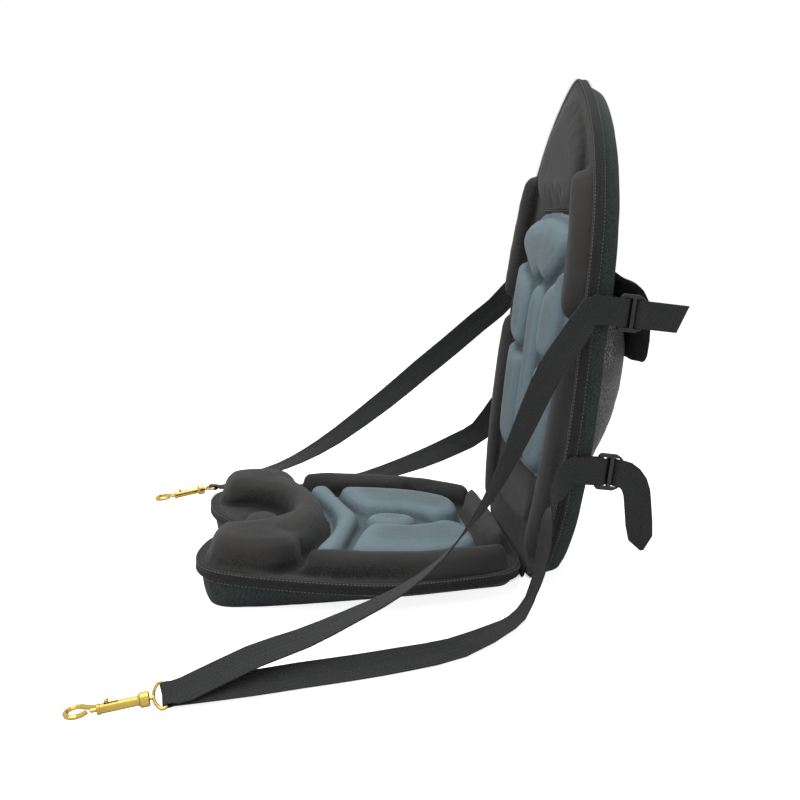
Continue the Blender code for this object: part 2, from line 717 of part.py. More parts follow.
def turned(profile, sides):
    """A round body about the local x axis, from pairs of place and radius."""
    return loft([
        [(s, r * math.cos(2 * math.pi * k / sides), r * math.sin(2 * math.pi * k / sides)) for k in range(sides)]
        for s, r in profile
    ])


def box(low, high):
    bm = bmesh.new()
    bmesh.ops.create_cube(bm, size=1)
    for vert in bm.verts:
        vert.co = Vector((high[k] if vert.co[k] > 0 else low[k] for k in range(3)))
    return bm


def buckle_frame(back, outline, side, t):
    """Frame of a ladder lock beside the rear face: x backwards, y outwards, z up the back."""
    half = max(half_width(outline, t + step) for step in (-WEB_WIDTH / 2, 0, WEB_WIDTH / 2))
    place = Vector((side * (half - BUCKLE_IN), t, -BACK_DEPTH - BUCKLE_BACK))
    axes = Matrix(((0, side, 0), (0, 0, 1), (-1, 0, 0))).to_4x4()
    return back @ Matrix.Translation(place) @ axes


def ladder_lock(name, frame):
    """Two slots between three bars."""
    length = BUCKLE_BAR * 3 + BUCKLE_SLOT_FRONT + BUCKLE_SLOT_REAR
    slot = WEB_WIDTH / 2 + 0.001
    half = slot + BUCKLE_RAIL
    outline = [(0.0, -half + 0.003), (0.003, -half), (length * 0.70, -half), (length - 0.003, -half + 0.003),
               (length, -half + 0.008), (length, half - 0.008), (length - 0.003, half - 0.003), (length * 0.70, half),
               (0.003, half), (0.0, half - 0.003)]
    thick = BUCKLE_THICK / 2
    edge = 0.0006
    rings = []
    for inward, level in ((edge, -thick), (0, -thick + edge), (0, thick - edge), (edge, thick)):
        loop = inset([Vector(p) for p in outline], inward)
        rings.append([Vector((p.x, level, p.y)) for p in loop])
    lock = piece(name, loft(rings), "plastic")
    first = BUCKLE_BAR
    second = first + BUCKLE_SLOT_FRONT + BUCKLE_BAR
    slots = [
        piece("slot", box((start, -0.01, -slot), (start + span, 0.01, slot)))
        for start, span in ((first, BUCKLE_SLOT_FRONT), (second, BUCKLE_SLOT_REAR))
    ]
    combine(lock, slots, "DIFFERENCE")
    lock.data.transform(frame)
    if frame.determinant() < 0:
        lock.data.flip_normals()
    return lock


def strap_end(frame, path, width=WEB_WIDTH):
    """Stations in a buckle's frame, from pairs along the strap and outwards."""
    up = frame.to_3x3() @ Vector((0, 0, 1))
    return [(*(frame @ Vector((p, q, 0))), *up, width) for p, q in path]


def anchor_webbing(name, frame):
    """Sewn flat on the gusset and looped round the first bar of the buckle."""
    path = [(-0.0236, 0.0052), (-0.0146, 0.0029), (-0.0085, -0.0004), (-0.0045, -0.0026), (0.0000, -0.0034),
            (0.0034, -0.0034), (0.0055, -0.0027), (0.0062, 0.0), (0.0055, 0.0027), (0.0034, 0.0034),
            (0.0, 0.0034), (-0.0050, 0.0027), (-0.0100, 0.0029)]
    return ribbon(name, strap_end(frame, path), "webbing")


def strap_run(start, end, side, run):
    """Stations between two places: share of the way, offsets outwards and up, width direction and width."""
    made = []
    for share, out, up, across_x, across_y, across_z, width in run:
        place = start.lerp(end, share) + Vector((side * out, 0, up))
        made.append((*place, side * across_x, across_y, across_z, width))
    return made


def snap_frame(place, yaw):
    """Frame of a bolt snap: x forwards along the swivel axis, y to the left of it seen from above, z up."""
    forwards = Vector((math.cos(SNAP_PITCH) * math.sin(yaw), -math.cos(SNAP_PITCH) * math.cos(yaw),
                       -math.sin(SNAP_PITCH)))
    sideways = Vector((math.cos(yaw), math.sin(yaw), 0))
    axes = Matrix((forwards, sideways, forwards.cross(sideways))).transposed().to_4x4()
    return Matrix.Translation((*place, SNAP_HEIGHT)) @ axes


def eye_turn(tilt):
    """Width direction and facing of the webbing at the eye, in the snap's frame."""
    across = Vector((0, math.cos(tilt), math.sin(tilt)))
    return across, Vector((0, -math.sin(tilt), math.cos(tilt)))


def eye_fold(frame, tilt, side, approach):
    """Stations where the webbing goes round the eye bar, and back under itself."""
    across, facing = eye_turn(tilt)
    turn = frame.to_3x3()
    ring = EYE_WIRE + GAP + WEB_THICKNESS / 2
    made = []
    for s, m in ((-0.0055, 0.8), (-0.0025, 1.0), (0, 1.0), (0.0019, 0.71), (ring, 0), (0.0019, -0.71), (0, -1.0),
                 (-0.0025, -1.0), (-0.0055, -0.8)):
        place = frame @ (Vector((EYE_BAR + s, 0, 0)) + facing * ring * m)
        made.append((*place, *(turn @ across * side), EYE_WEB_WIDTH))
    back = Vector((-math.sin(approach), math.cos(approach), 0))
    middle = frame @ Vector((EYE_BAR - 0.007, 0, 0)) + back * GATHER
    gather = Vector((0, 0, WEB_THICKNESS * 0.5 + GAP * 2.5))
    wide = (*(turn @ across * side), (EYE_WEB_WIDTH + WEB_WIDTH) / 2)
    return [(*(middle + gather), *wide)] + made + [(*(middle - gather), *wide)]


def webbing(name, side, frames, snap, tilt, approach, upper_run, lower_run):
    """One strap: upper tail, upper buckle, eye of the snap, lower buckle, hanging tail."""
    upper, lower = frames
    over = [(-0.0030, 0.0056), (-0.0120, 0.0070), (-0.0200, 0.0098), (-0.0270, 0.0126), (-0.0330, 0.0140)]
    through = [(0.0270, 0.0047), (0.0236, 0.0036), (0.0212, 0.0), (0.0188, -0.0034), (0.0155, -0.0044),
               (0.0125, -0.0036), (0.0100, 0.0), (0.0072, 0.0046), (0.0034, 0.0056)]
    tail = [(UPPER_TAIL, 0.0040), (0.050, 0.0052), (0.032, 0.0049)]
    fold = eye_fold(snap, tilt, side, approach)
    first = strap_end(upper, tail + through + over)
    last = strap_end(lower, [(p, q) for p, q in reversed(through + over)])
    run = strap_run(Vector(first[-1][:3]), Vector(fold[0][:3]), side, upper_run)
    back = strap_run(Vector(last[0][:3]), Vector(fold[-1][:3]), side, lower_run)
    down = smooth([first[-2], first[-1]] + run + [fold[0], fold[1]], RUN_STEPS, closed=False)
    up = smooth([fold[-2], fold[-1]] + list(reversed(back)) + [last[0], last[1]], RUN_STEPS, closed=False)
    drop = hanging_tail(lower)
    return ribbon(name, first[:-2] + down[:-1] + fold[1:-1] + up[1:] + last[2:] + drop, "webbing", cut=0.010)


def hanging_tail(frame):
    """The loose end below the lower buckle, which turns down and ends in a point."""
    turn = frame.to_3x3()
    made = []
    for p, q, z, lean, width in (
        (0.031, 0.0050, -0.0005, 10, 1.0), (0.037, 0.0054, -0.0040, 27, 1.0), (0.0425, 0.0060, -0.0100, 46, 1.0),
        (0.0465, 0.0066, -0.0185, 62, 1.0), (0.049, 0.0070, -0.0290, 72, 1.0), (0.0545, 0.0070, -0.0530, 76, 1.0),
        (0.059, 0.0060, -0.0690, 76, 0.90), (0.063, 0.0050, -0.0830, 76, 0.12),
    ):
        lean = math.radians(lean)
        across = turn @ Vector((math.sin(lean), 0, math.cos(lean)))
        made.append((*(frame @ Vector((p, q, z))), *across, WEB_WIDTH * width))
    return made


def snap_body(name, frame):
    """Collar, barrel and fixed hook, with the bores of the swivel and the bolt and the slot of the thumb knob."""
    end = COLLAR_LENGTH + BARREL_LENGTH
    body = piece(name, turned([
        (0, COLLAR_RADIUS * 0.82), (0.0010, COLLAR_RADIUS), (COLLAR_LENGTH - 0.0012, COLLAR_RADIUS),
        (COLLAR_LENGTH, COLLAR_RADIUS * 0.80), (COLLAR_LENGTH + 0.0012, BARREL_RADIUS),
        (end - 0.0030, BARREL_RADIUS), (end - 0.0026, BARREL_RADIUS + 0.0005), (end - 0.0006, BARREL_RADIUS + 0.0005),
        (end, BARREL_RADIUS * 0.95),
    ], 16), "brass", frame)
    centre = Vector((end + 0.0170, -0.0040, 0))
    path = [Vector((end - 0.0070, -0.0028, 0)), Vector((end - 0.0010, -0.0040, 0)), Vector((end + 0.0045, -0.0064, 0))]
    for step in range(11):
        angle = math.radians(-145 + step * 29.5)
        path.append(centre + Vector((math.cos(angle), math.sin(angle), 0)) * HOOK_RADIUS)
    combine(body, [piece("hook", tube(path, HOOK_WIRE, 8))], "UNION")
    bore = piece("bore", turned([(BORE_START, BORE_RADIUS), (end + 0.0056, BORE_RADIUS)], 12))
    swivel = piece("swivel", turned([
        (-0.001, STEM_RADIUS + GAP), (STEM_HEAD_START - GAP, STEM_RADIUS + GAP),
        (STEM_HEAD_START - GAP, STEM_HEAD_RADIUS + GAP), (STEM_END + GAP, STEM_HEAD_RADIUS + GAP),
    ], 12))
    slot = piece("slot", box((KNOB_PLACE - BOLT_TRAVEL - KNOB_RADIUS - 0.0008, -KNOB_RADIUS - 0.0003, 0),
                             (KNOB_PLACE + KNOB_RADIUS + 0.0008, KNOB_RADIUS + 0.0003, 0.01)))
    return combine(body, [bore, swivel, slot], "DIFFERENCE")


def snap_eye(name, frame, tilt):
    """D-shaped wire eye with the stem that turns in the collar."""
    inner = EYE_WEB_WIDTH / 2 + GAP
    out = inner + EYE_WIRE + 0.0002
    half = [(EYE_BAR, 0.0), (EYE_BAR, inner * 0.55), (EYE_BAR + 0.0002, inner + 0.0004), (EYE_BAR + 0.0012, out),
            (EYE_BAR + 0.0045, out + 0.0001), (EYE_BAR + 0.0068, inner * 0.92), (EYE_BAR + 0.0088, inner * 0.55),
            (EYE_BAR + 0.0100, 0.0)]
    across, _ = eye_turn(tilt)
    loop = half + [(s, -w) for s, w in reversed(half[1:-1])]
    path = [Vector((s, 0, 0)) + across * w for s, w in loop]
    eye = piece(name, tube(path, EYE_WIRE, 8, closed=True), "brass", frame)
    stem = piece("stem", turned([
        (EYE_BAR + 0.0098, STEM_RADIUS), (STEM_HEAD_START, STEM_RADIUS), (STEM_HEAD_START, STEM_HEAD_RADIUS),
        (STEM_END, STEM_HEAD_RADIUS),
    ], 12))
    return combine(eye, [stem], "UNION")


def snap_bolt(name, frame):
    """Sliding rod with the thumb knob that stands out of the slot."""
    end = COLLAR_LENGTH + BARREL_LENGTH + BOLT_OUT
    bolt = piece(name, turned([
        (BOLT_START, BOLT_RADIUS), (end - 0.0008, BOLT_RADIUS), (end, BOLT_RADIUS * 0.6),
    ], 12), "brass", frame)
    knob = piece("knob", tube([Vector((KNOB_PLACE, 0, 0)), Vector((KNOB_PLACE, 0, KNOB_HEIGHT - 0.0012))],
                              KNOB_RADIUS, 10))
    ball = bmesh.new()
    bmesh.ops.create_uvsphere(ball, u_segments=10, v_segments=6, radius=KNOB_RADIUS * 1.35,
                              matrix=Matrix.Translation((KNOB_PLACE, 0, KNOB_HEIGHT - KNOB_RADIUS * 1.35)))
    return combine(bolt, [knob, piece("ball", ball)], "UNION")


def snap_spring(name, frame):
    """Coil between the floor of the bore and the rear of the bolt."""
    steps = SPRING_TURNS * 8
    low, high = BORE_START + SPRING_WIRE + 0.0003, BOLT_START - SPRING_WIRE - 0.0003
    path = [
        Vector((low + (high - low) * k / steps, SPRING_RADIUS * math.cos(k * math.pi / 4),
                SPRING_RADIUS * math.sin(k * math.pi / 4)))
        for k in range(steps + 1)
    ]
    return piece(name, tube(path, SPRING_WIRE, 5), "spring_steel", frame)


def pocket_depth(t, across):
    """How far the pocket stands off the rear face at a height and a share of its half-width."""
    rows = POCKET_ROWS
    for (t0, d0), (t1, d1) in zip(rows, rows[1:]):
        if t0 <= t <= t1:
            depth = d0 + (d1 - d0) * (t - t0) / (t1 - t0)
            return depth * (1 - abs(across) ** 4)
    return 0.0


def pocket_sheet(name, heights, offset, thick, finish, frame):
    """A bowed sheet over the rear face, closed at its edges."""
    columns = [-1, -0.97, -0.90, -0.78, -0.58, -0.30, 0, 0.30, 0.58, 0.78, 0.90, 0.97, 1]
    grids = []
    for extra in (offset + thick, offset):
        grids.append([
            [Vector((a * POCKET_HALF, t, -BACK_DEPTH - extra - pocket_depth(t, a))) for a in columns] for t in heights
        ])
    bm = bmesh.new()
    outer, inner = [[[bm.verts.new(p) for p in row] for row in grid] for grid in grids]
    rows, count = len(heights), len(columns)
    for layer in (outer, inner):
        for i in range(rows - 1):
            for j in range(count - 1):
                bm.faces.new((layer[i][j], layer[i][j + 1], layer[i + 1][j + 1], layer[i + 1][j]))
    for i in range(rows - 1):
        for j in (0, count - 1):
            bm.faces.new((outer[i][j], outer[i + 1][j], inner[i + 1][j], inner[i][j]))
    for j in range(count - 1):
        for i in (0, rows - 1):
            bm.faces.new((outer[i][j], outer[i][j + 1], inner[i][j + 1], inner[i][j]))
    return piece(name, bm, finish, frame)


def pocket_flap(frame):
    """Stiff flap sewn to the rear face above the pocket, arching over its mouth."""
    deep = FLAP_SHEET / 2
    start = deep + GAP
    line = [Vector((FLAP_TOP_T + rise, out)) for rise, out in (
        (0.010, start), (-0.001, start), (-0.006, start + 0.004), (-0.010, 0.016), (-0.014, 0.030), (-0.021, 0.043),
        (-0.034, 0.052), (-0.053, 0.057), (-0.077, 0.060), (-0.104, 0.062),
    )]
    rings = []
    for across, droop in ((-1, 0.006), (-0.72, 0.001), (0, 0), (0.72, 0.001), (1, 0.006)):
        one, other = [], []
        for i, point in enumerate(line):
            along = line[min(i + 1, len(line) - 1)] - line[max(i - 1, 0)]
            off = Vector((-along.y, along.x)).normalized() * deep
            share = (i / (len(line) - 1)) ** 2
            for row, side in ((one, 1), (other, -1)):
                t, out = point + off * side
                row.append(Vector((across * FLAP_HALF, t + droop * share, -BACK_DEPTH - out + droop * share)))
        rings.append(one + list(reversed(other)))
    return piece("pocket_flap", loft(rings), "black_fabric", frame)


def build_pocket(frame):
    heights = [t for t, _ in POCKET_ROWS]
    pocket_sheet("pocket_mesh", heights, GAP, POCKET_SHEET, "pocket_mesh", frame)
    band = [POCKET_TOP_T - POCKET_BAND, POCKET_TOP_T - POCKET_BAND / 2, POCKET_TOP_T]
    pocket_sheet("pocket_band", band, GAP * 2 + POCKET_SHEET, POCKET_SHEET, "binding_tape", frame)
    pocket_flap(frame)


def build_side(name, side, back, outline, place, yaw, tilt, approach, upper_run, lower_run):
    """Buckles, webbing and bolt snap of one side."""
    frames = [buckle_frame(back, outline, side, t) for t in (UPPER_ANCHOR_T, LOWER_ANCHOR_T)]
    for level, frame in zip(("upper", "lower"), frames):
        ladder_lock(f"{name}_{level}_buckle", frame)
        anchor_webbing(f"{name}_{level}_anchor", frame)
    snap = snap_frame(place, yaw)
    webbing(f"{name}_webbing", side, frames, snap, tilt, approach, upper_run, lower_run)
    axis = empty(f"{name}_snap_axis", snap)
    snap_body(f"{name}_snap_body", axis)
    snap_eye(f"{name}_snap_eye", axis, tilt)
    snap_bolt(f"{name}_snap_bolt", axis)
    snap_spring(f"{name}_snap_spring", axis)


def seat_frame():
    place = Matrix.Translation((0, HINGE_Y, SEAT_REAR_HEIGHT))
    return empty("seat_plane", place @ Matrix.Rotation(-SEAT_TILT, 4, "X"))


def back_frame():
    place = Matrix.Translation((0, BACK_FOOT_Y, BACK_FOOT_HEIGHT))
    return empty("back_plane", place @ Matrix.Rotation(math.pi / 2 - BACK_LEAN, 4, "X"))


def main():
    clear_scene()
    seat, back = seat_frame(), back_frame()
    bpy.context.view_layer.update()
    seat_rear = build_seat(seat)
    outline = build_back(back)
    hinge_strip(seat_rear, back.matrix_world)
    build_pocket(back)
    build_side("left", 1, back.matrix_world, outline, LEFT_EYE, LEFT_YAW, LEFT_TILT, LEFT_APPROACH,
               LEFT_UPPER_RUN, LEFT_LOWER_RUN)
    build_side("right", -1, back.matrix_world, outline, RIGHT_EYE, RIGHT_YAW, RIGHT_TILT, RIGHT_APPROACH,
               RIGHT_UPPER_RUN, RIGHT_LOWER_RUN)


main()
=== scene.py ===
"""Looks of the kayak seat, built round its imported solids.

The seat base and the backrest get moulded fabric pads with a smooth grey insert, side covers in coarse
cloth, a stitched double binding, woven webbing, a net pocket and brass snaps. Everything is in metres, in the
frame's axes.
"""

import itertools
import math

import bmesh
import bpy
from bpy.props import FloatProperty, FloatVectorProperty, PointerProperty
from mathutils import Matrix, Vector, kdtree, noise


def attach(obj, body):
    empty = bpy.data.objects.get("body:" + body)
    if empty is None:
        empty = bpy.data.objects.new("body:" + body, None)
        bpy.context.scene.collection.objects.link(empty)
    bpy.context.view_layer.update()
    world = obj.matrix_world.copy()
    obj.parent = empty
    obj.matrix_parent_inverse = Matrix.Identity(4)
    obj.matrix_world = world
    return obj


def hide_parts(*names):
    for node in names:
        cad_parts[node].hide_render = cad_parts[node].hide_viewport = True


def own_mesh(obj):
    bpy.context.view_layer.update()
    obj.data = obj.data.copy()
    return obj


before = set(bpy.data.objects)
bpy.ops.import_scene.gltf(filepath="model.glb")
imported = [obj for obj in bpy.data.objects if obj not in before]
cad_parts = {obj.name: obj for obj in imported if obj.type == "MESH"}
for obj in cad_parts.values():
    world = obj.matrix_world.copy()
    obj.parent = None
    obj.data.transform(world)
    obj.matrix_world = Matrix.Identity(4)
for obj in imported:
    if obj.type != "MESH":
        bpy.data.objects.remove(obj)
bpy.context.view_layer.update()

bl_info = {
    "name": "Kayak Seat Looks",
    "version": (1, 0, 0),
    "blender": (4, 5, 0),
    "location": "View3D > Sidebar > Kayak Seat",
    "description": "Fabric, webbing, net and brass for the kayak seat",
    "category": "Add Mesh",
}

# The planes of the two bindings, as the solids have them.
# On each, x runs across, y along from the hinge and z out of the padding.
SEAT_PLANE = Matrix.Translation((0, 0.184, 0.021)) @ Matrix.Rotation(-math.asin(0.022 / 0.374), 4, "X")
BACK_PLANE = Matrix.Translation((0, 0.193, 0.005)) @ Matrix.Rotation(math.pi / 2 - math.radians(7.0), 4, "X")
PANELS = (("seat_top_panel", SEAT_PLANE), ("back_front_panel", BACK_PLANE))
INSERTS = (("seat_grey_pad", SEAT_PLANE), ("back_grey_pad", BACK_PLANE))
TRAYS = (("seat_cover_tray", SEAT_PLANE), ("back_cover_tray", BACK_PLANE))
BINDINGS = (("seat_binding", SEAT_PLANE), ("back_binding", BACK_PLANE))
BINDING_TOP = 0.006  # height of a binding's upper edge over its plane

# Stitches: heights of the two rows over the plane, and the share of their pitch that a stitch covers.
# Each is a thread of this radius, lifted off the tape by a little.
STITCH_ROWS = (0.0054, -0.0054)
STITCH_SHARE = 0.72
STITCH_RADIUS = 0.00045
STITCH_LIFT = 0.0003

# Padding: its low edge keeps to the solid, and its underside is held while it fills
RIM_TOP = 0.0062
RIM_WIDTH = 0.012
RIM_MARKS = 0.004  # pitch of the points that tell where the edge is
UNDERSIDE = 0.0035
FILL_FRAMES = 9
INSERT_GRAIN = 0.74  # the inserts' voxel, as a share of the panels' voxel

# Painted shade and highlight: the cloth's colour is painted darker in the padding's grooves and lighter on
# its ridges
FOLD_SHADING_PASSES = 12
FOLD_SHADING_EASING = 3
FOLD_SHADING_REACH = 0.0030

# The panel's cloth at the tape: corners of its section, outwards and up from the binding's edge
RIM_CORNERS = ((-0.0085, -0.0012), (0.0008, -0.0004), (0.0008, -0.0018), (-0.0085, -0.0030))
RIM_PITCH = 0.006

# Three ribs across the panel, between the headrest and the grey insert
RIB_PLACES = (0.4236, 0.4262, 0.4288)
RIB_RADIUS = 0.0012
RIB_HALF = 0.060
RIB_HEIGHT = 0.0056

# The net between its foot and its hem bulges further than the solid
NET_FOOT = 0.122
NET_TOP = 0.322
NET_BULGE = 0.011
NET_HALF = 0.132
NET_BANDS = (0.12, 0.34)  # heights over the ground between which the net's light and dark bands run

# Webbing: height of its thicker edges, and where its other face starts in its map, across the strip.
# Corners that a sharp bend turned back are pulled forwards again.
STRIP_EDGE = 0.0006
STRIP_BACK = 0.04
UNTANGLE_PASSES = 6
UNTANGLE_PULL = 0.7

LAMP_TARGET = (0, 0, 0.2)  # the lamps point at the middle of the seat

SIDES = ("left", "right")
LEVELS = ("upper", "lower")


class KayakCloth(bpy.types.PropertyGroup):
    """Colours and sizes of the fabrics."""

    black: FloatVectorProperty(name="Black", description="Moulded panels", subtype="COLOR", size=3,
                               default=(0.021, 0.020, 0.0195), min=0, max=1)
    gusset: FloatVectorProperty(name="Side cloth", description="Covers below and behind", subtype="COLOR",
                                size=3, default=(0.028, 0.036, 0.035), min=0, max=1)
    grey: FloatVectorProperty(name="Grey", description="Soft insert", subtype="COLOR", size=3,
                              default=(0.125, 0.172, 0.195), min=0, max=1)
    tape: FloatVectorProperty(name="Tape", description="Binding tape", subtype="COLOR", size=3,
                              default=(0.018, 0.018, 0.018), min=0, max=1)
    thread: FloatVectorProperty(name="Thread", description="Stitches", subtype="COLOR", size=3,
                                default=(0.16, 0.16, 0.15), min=0, max=1)
    webbing: FloatVectorProperty(name="Webbing", description="Straps", subtype="COLOR", size=3,
                                 default=(0.0235, 0.0243, 0.0243), min=0, max=1)
    net: FloatVectorProperty(name="Net", description="Pocket net", subtype="COLOR", size=3,
                             default=(0.30, 0.30, 0.29), min=0, max=1)
    voxel: FloatProperty(name="Voxel", description="Grain of the padded forms", unit="LENGTH",
                         default=0.0039, min=0.001, max=0.01)
    swell: FloatProperty(name="Swell", description="Furthest that padding may bulge", unit="LENGTH",
                         default=0.0022, min=0, max=0.01)
    stitch: FloatProperty(name="Stitch", description="Pitch of the stitches", unit="LENGTH",
                          default=0.0040, min=0.001, max=0.01)


class KayakStage(bpy.types.PropertyGroup):
    """Camera and light."""

    place: FloatVectorProperty(name="Camera", description="Place of the camera", subtype="TRANSLATION",
                               size=3, default=(1.245, -0.081, 0.427))
    heading: FloatProperty(name="Heading", description="Turn of the camera to the left of +Y",
                           subtype="ANGLE", default=math.radians(84.02))
    dip: FloatProperty(name="Dip", description="Angle of the camera below the horizon",
                       subtype="ANGLE", default=math.radians(10.33))
    lens: FloatProperty(name="Lens", description="Focal length in millimetres on a 36 mm sensor",
                        default=46.9)
    key: FloatProperty(name="Key", description="Power of the key light in watts", default=25.0, min=0)
    fill: FloatProperty(name="Fill", description="Power of the fill light in watts", default=5.0, min=0)
    sky: FloatProperty(name="Sky", description="Strength of the plain white surroundings",
                       default=0.16, min=0)


# Shader groups and materials


def new_material(name):
    """A material, its node tree and its shader."""
    made = bpy.data.materials.new(name)
    made.use_nodes = True
    return made, made.node_tree, made.node_tree.nodes["Principled BSDF"]


def new_group(name, inputs):
    """A cloth group with its inputs, and the outputs that every cloth has."""
    group = bpy.data.node_groups.new(name, "ShaderNodeTree")
    for label, kind, value in inputs:
        socket = group.interface.new_socket(label, in_out="INPUT", socket_type="NodeSocket" + kind)
        if value is not None:
            socket.default_value = value
    for label, kind in (("Colour", "Color"), ("Height", "Float"), ("Roughness", "Float")):
        group.interface.new_socket(label, in_out="OUTPUT", socket_type="NodeSocket" + kind)
    start = group.nodes.new("NodeGroupInput")
    end = group.nodes.new("NodeGroupOutput")
    return group, start, end


def end_group(group, start, end, tone, height, rough):
    """Turns a tone into a colour from dark to light, and leads all three values out of a cloth group."""
    colour = colour_mix(group, tone, start.outputs["Dark"], start.outputs["Light"])
    for label, socket in (("Colour", colour), ("Height", height), ("Roughness", rough)):
        group.links.new(socket, end.inputs[label])
    return group


def math_node(tree, operation, *values):
    """The result of a calculation on numbers or sockets."""
    node = tree.nodes.new("ShaderNodeMath")
    node.operation = operation
    for index, value in enumerate(values):
        if isinstance(value, (int, float)):
            node.inputs[index].default_value = value
        else:
            tree.links.new(value, node.inputs[index])
    return node.outputs[0]


def colour_mix(tree, factor, low, high):
    """A blend of two colours, each a socket or a tuple."""
    blend = tree.nodes.new("ShaderNodeMix")
    blend.data_type = "RGBA"
    tree.links.new(factor, blend.inputs["Factor"])
    for label, colour in (("A", low), ("B", high)):
        if isinstance(colour, tuple):
            blend.inputs[label].default_value = colour
        else:
            tree.links.new(colour, blend.inputs[label])
    return blend.outputs["Result"]


def add_relief(tree, shader, height, strength, depth, invert=False):
    """Bump from a height, into the shader's normal."""
    relief = tree.nodes.new("ShaderNodeBump")
    relief.invert = invert
    relief.inputs["Strength"].default_value = strength
    relief.inputs["Distance"].default_value = depth
    tree.links.new(height, relief.inputs["Height"])
    tree.links.new(relief.outputs["Normal"], shader.inputs["Normal"])


def threads(pitch):
    """What the weave group needs for threads at a pitch in metres."""
    return 2 * math.pi / pitch


def tone_mix(tree, *parts):
    """A mask about one half, from pairs of a value between 0 and 1 and its weight."""
    total = None
    for value, weight in parts:
        share = math_node(tree, "MULTIPLY", math_node(tree, "SUBTRACT", value, 0.5), weight)
        total = math_node(tree, "ADD", share, 0.5 if total is None else total)
    return total


def noise_node(tree, vector, scale, detail):
    """The value of a noise, between 0 and 1."""
    node = tree.nodes.new("ShaderNodeTexNoise")
    node.inputs["Scale"].default_value = scale
    node.inputs["Detail"].default_value = detail
    node.inputs["Roughness"].default_value = 0.55
    tree.links.new(vector, node.inputs["Vector"])
    return node.outputs["Fac"]


def make_cloth_weave():
    """Threads that cross, from two sets of bands, with a slow change of tone over them."""
    group, start, end = new_group(
        "cloth_weave",
        [("Vector", "Vector", None), ("Painted_fold_shading", "Float", 0.5), ("Threads", "Float", 900.0),
         ("Dark", "Color", (0.02, 0.02, 0.02, 1)), ("Light", "Color", (0.05, 0.05, 0.05, 1))],
    )
    split = group.nodes.new("ShaderNodeSeparateXYZ")
    group.links.new(start.outputs["Vector"], split.inputs[0])
    bands = []
    for one, other in (("X", "Y"), ("Y", "Z")):
        total = math_node(group, "MULTIPLY_ADD", split.outputs[other], 0.35, split.outputs[one])
        wave = math_node(group, "SINE", math_node(group, "MULTIPLY", total, start.outputs["Threads"]))
        bands.append(wave)
    crossing = math_node(group, "MULTIPLY", bands[0], bands[1])
    height = math_node(group, "MULTIPLY_ADD", crossing, 0.5, 0.5)
    slow = noise_node(group, start.outputs["Vector"], 22.0, 4.0)
    fine = noise_node(group, start.outputs["Vector"], 620.0, 2.0)
    # The fold input paints shade into grooves and highlight onto ridges of the tone
    tone = tone_mix(group, (height, 0.45), (slow, 0.8), (fine, 2.4), (start.outputs["Painted_fold_shading"], 1.7))
    rough = math_node(group, "MULTIPLY_ADD", slow, 0.2, 0.70)
    return end_group(group, start, end, tone, math_node(group, "ADD", height, fine), rough)


def make_smooth_knit():
    """The even surface of stretch cloth over foam: a soft mottle and a very fine grain."""
    group, start, end = new_group(
        "smooth_knit",
        [("Vector", "Vector", None), ("Painted_fold_shading", "Float", 0.5),
         ("Dark", "Color", (0.1, 0.1, 0.1, 1)), ("Light", "Color", (0.2, 0.2, 0.2, 1))],
    )
    slow = noise_node(group, start.outputs["Vector"], 30.0, 5.0)
    fine = noise_node(group, start.outputs["Vector"], 700.0, 2.0)
    # The fold input paints shade into grooves and highlight onto ridges of the tone
    tone = tone_mix(group, (slow, 0.9), (fine, 2.2), (start.outputs["Painted_fold_shading"], 2.2))
    return end_group(group, start, end, tone, fine, math_node(group, "MULTIPLY_ADD", slow, 0.25, 0.52))


def make_webbing_weave():
    """Herringbone of woven webbing, from a map that holds metres across and along the strap."""
    group, start, end = new_group(
        "webbing_weave",
        [("Vector", "Vector", None), ("Dark", "Color", (0.02, 0.02, 0.02, 1)),
         ("Light", "Color", (0.06, 0.06, 0.06, 1))],
    )
    split = group.nodes.new("ShaderNodeSeparateXYZ")
    group.links.new(start.outputs["Vector"], split.inputs[0])
    across = math_node(group, "PINGPONG", split.outputs["X"], 0.0025)
    slanted = math_node(group, "ADD", split.outputs["Y"], across)
    rib = math_node(group, "SINE", math_node(group, "MULTIPLY", slanted, threads(0.0021)))
    warp = math_node(group, "SINE", math_node(group, "MULTIPLY", split.outputs["X"], threads(0.0025)))
    height = math_node(group, "MULTIPLY_ADD", rib, 0.35, math_node(group, "MULTIPLY_ADD", warp, 0.2, 0.5))
    slow = noise_node(group, start.outputs["Vector"], 60.0, 4.0)
    fine = noise_node(group, start.outputs["Vector"], 700.0, 2.0)
    tone = tone_mix(group, (height, 0.5), (slow, 0.6), (fine, 2.4))
    return end_group(group, start, end, tone, height, math_node(group, "MULTIPLY_ADD", slow, 0.2, 0.6))


GROUP_MAKERS = {
    "cloth_weave": make_cloth_weave,
    "smooth_knit": make_smooth_knit,
    "webbing_weave": make_webbing_weave,
}
GROUPS = {}


def shader_group(name):
    """A shader group, made when the first cloth needs it."""
    if name not in GROUPS:
        GROUPS[name] = GROUP_MAKERS[name]()
    return GROUPS[name]


def tones(colour, spread):
    """A darker and a lighter tone of a colour."""
    low = tuple(c * (1 - spread) for c in colour) + (1,)
    high = tuple(min(1, c * (1 + spread)) for c in colour) + (1,)
    return low, high


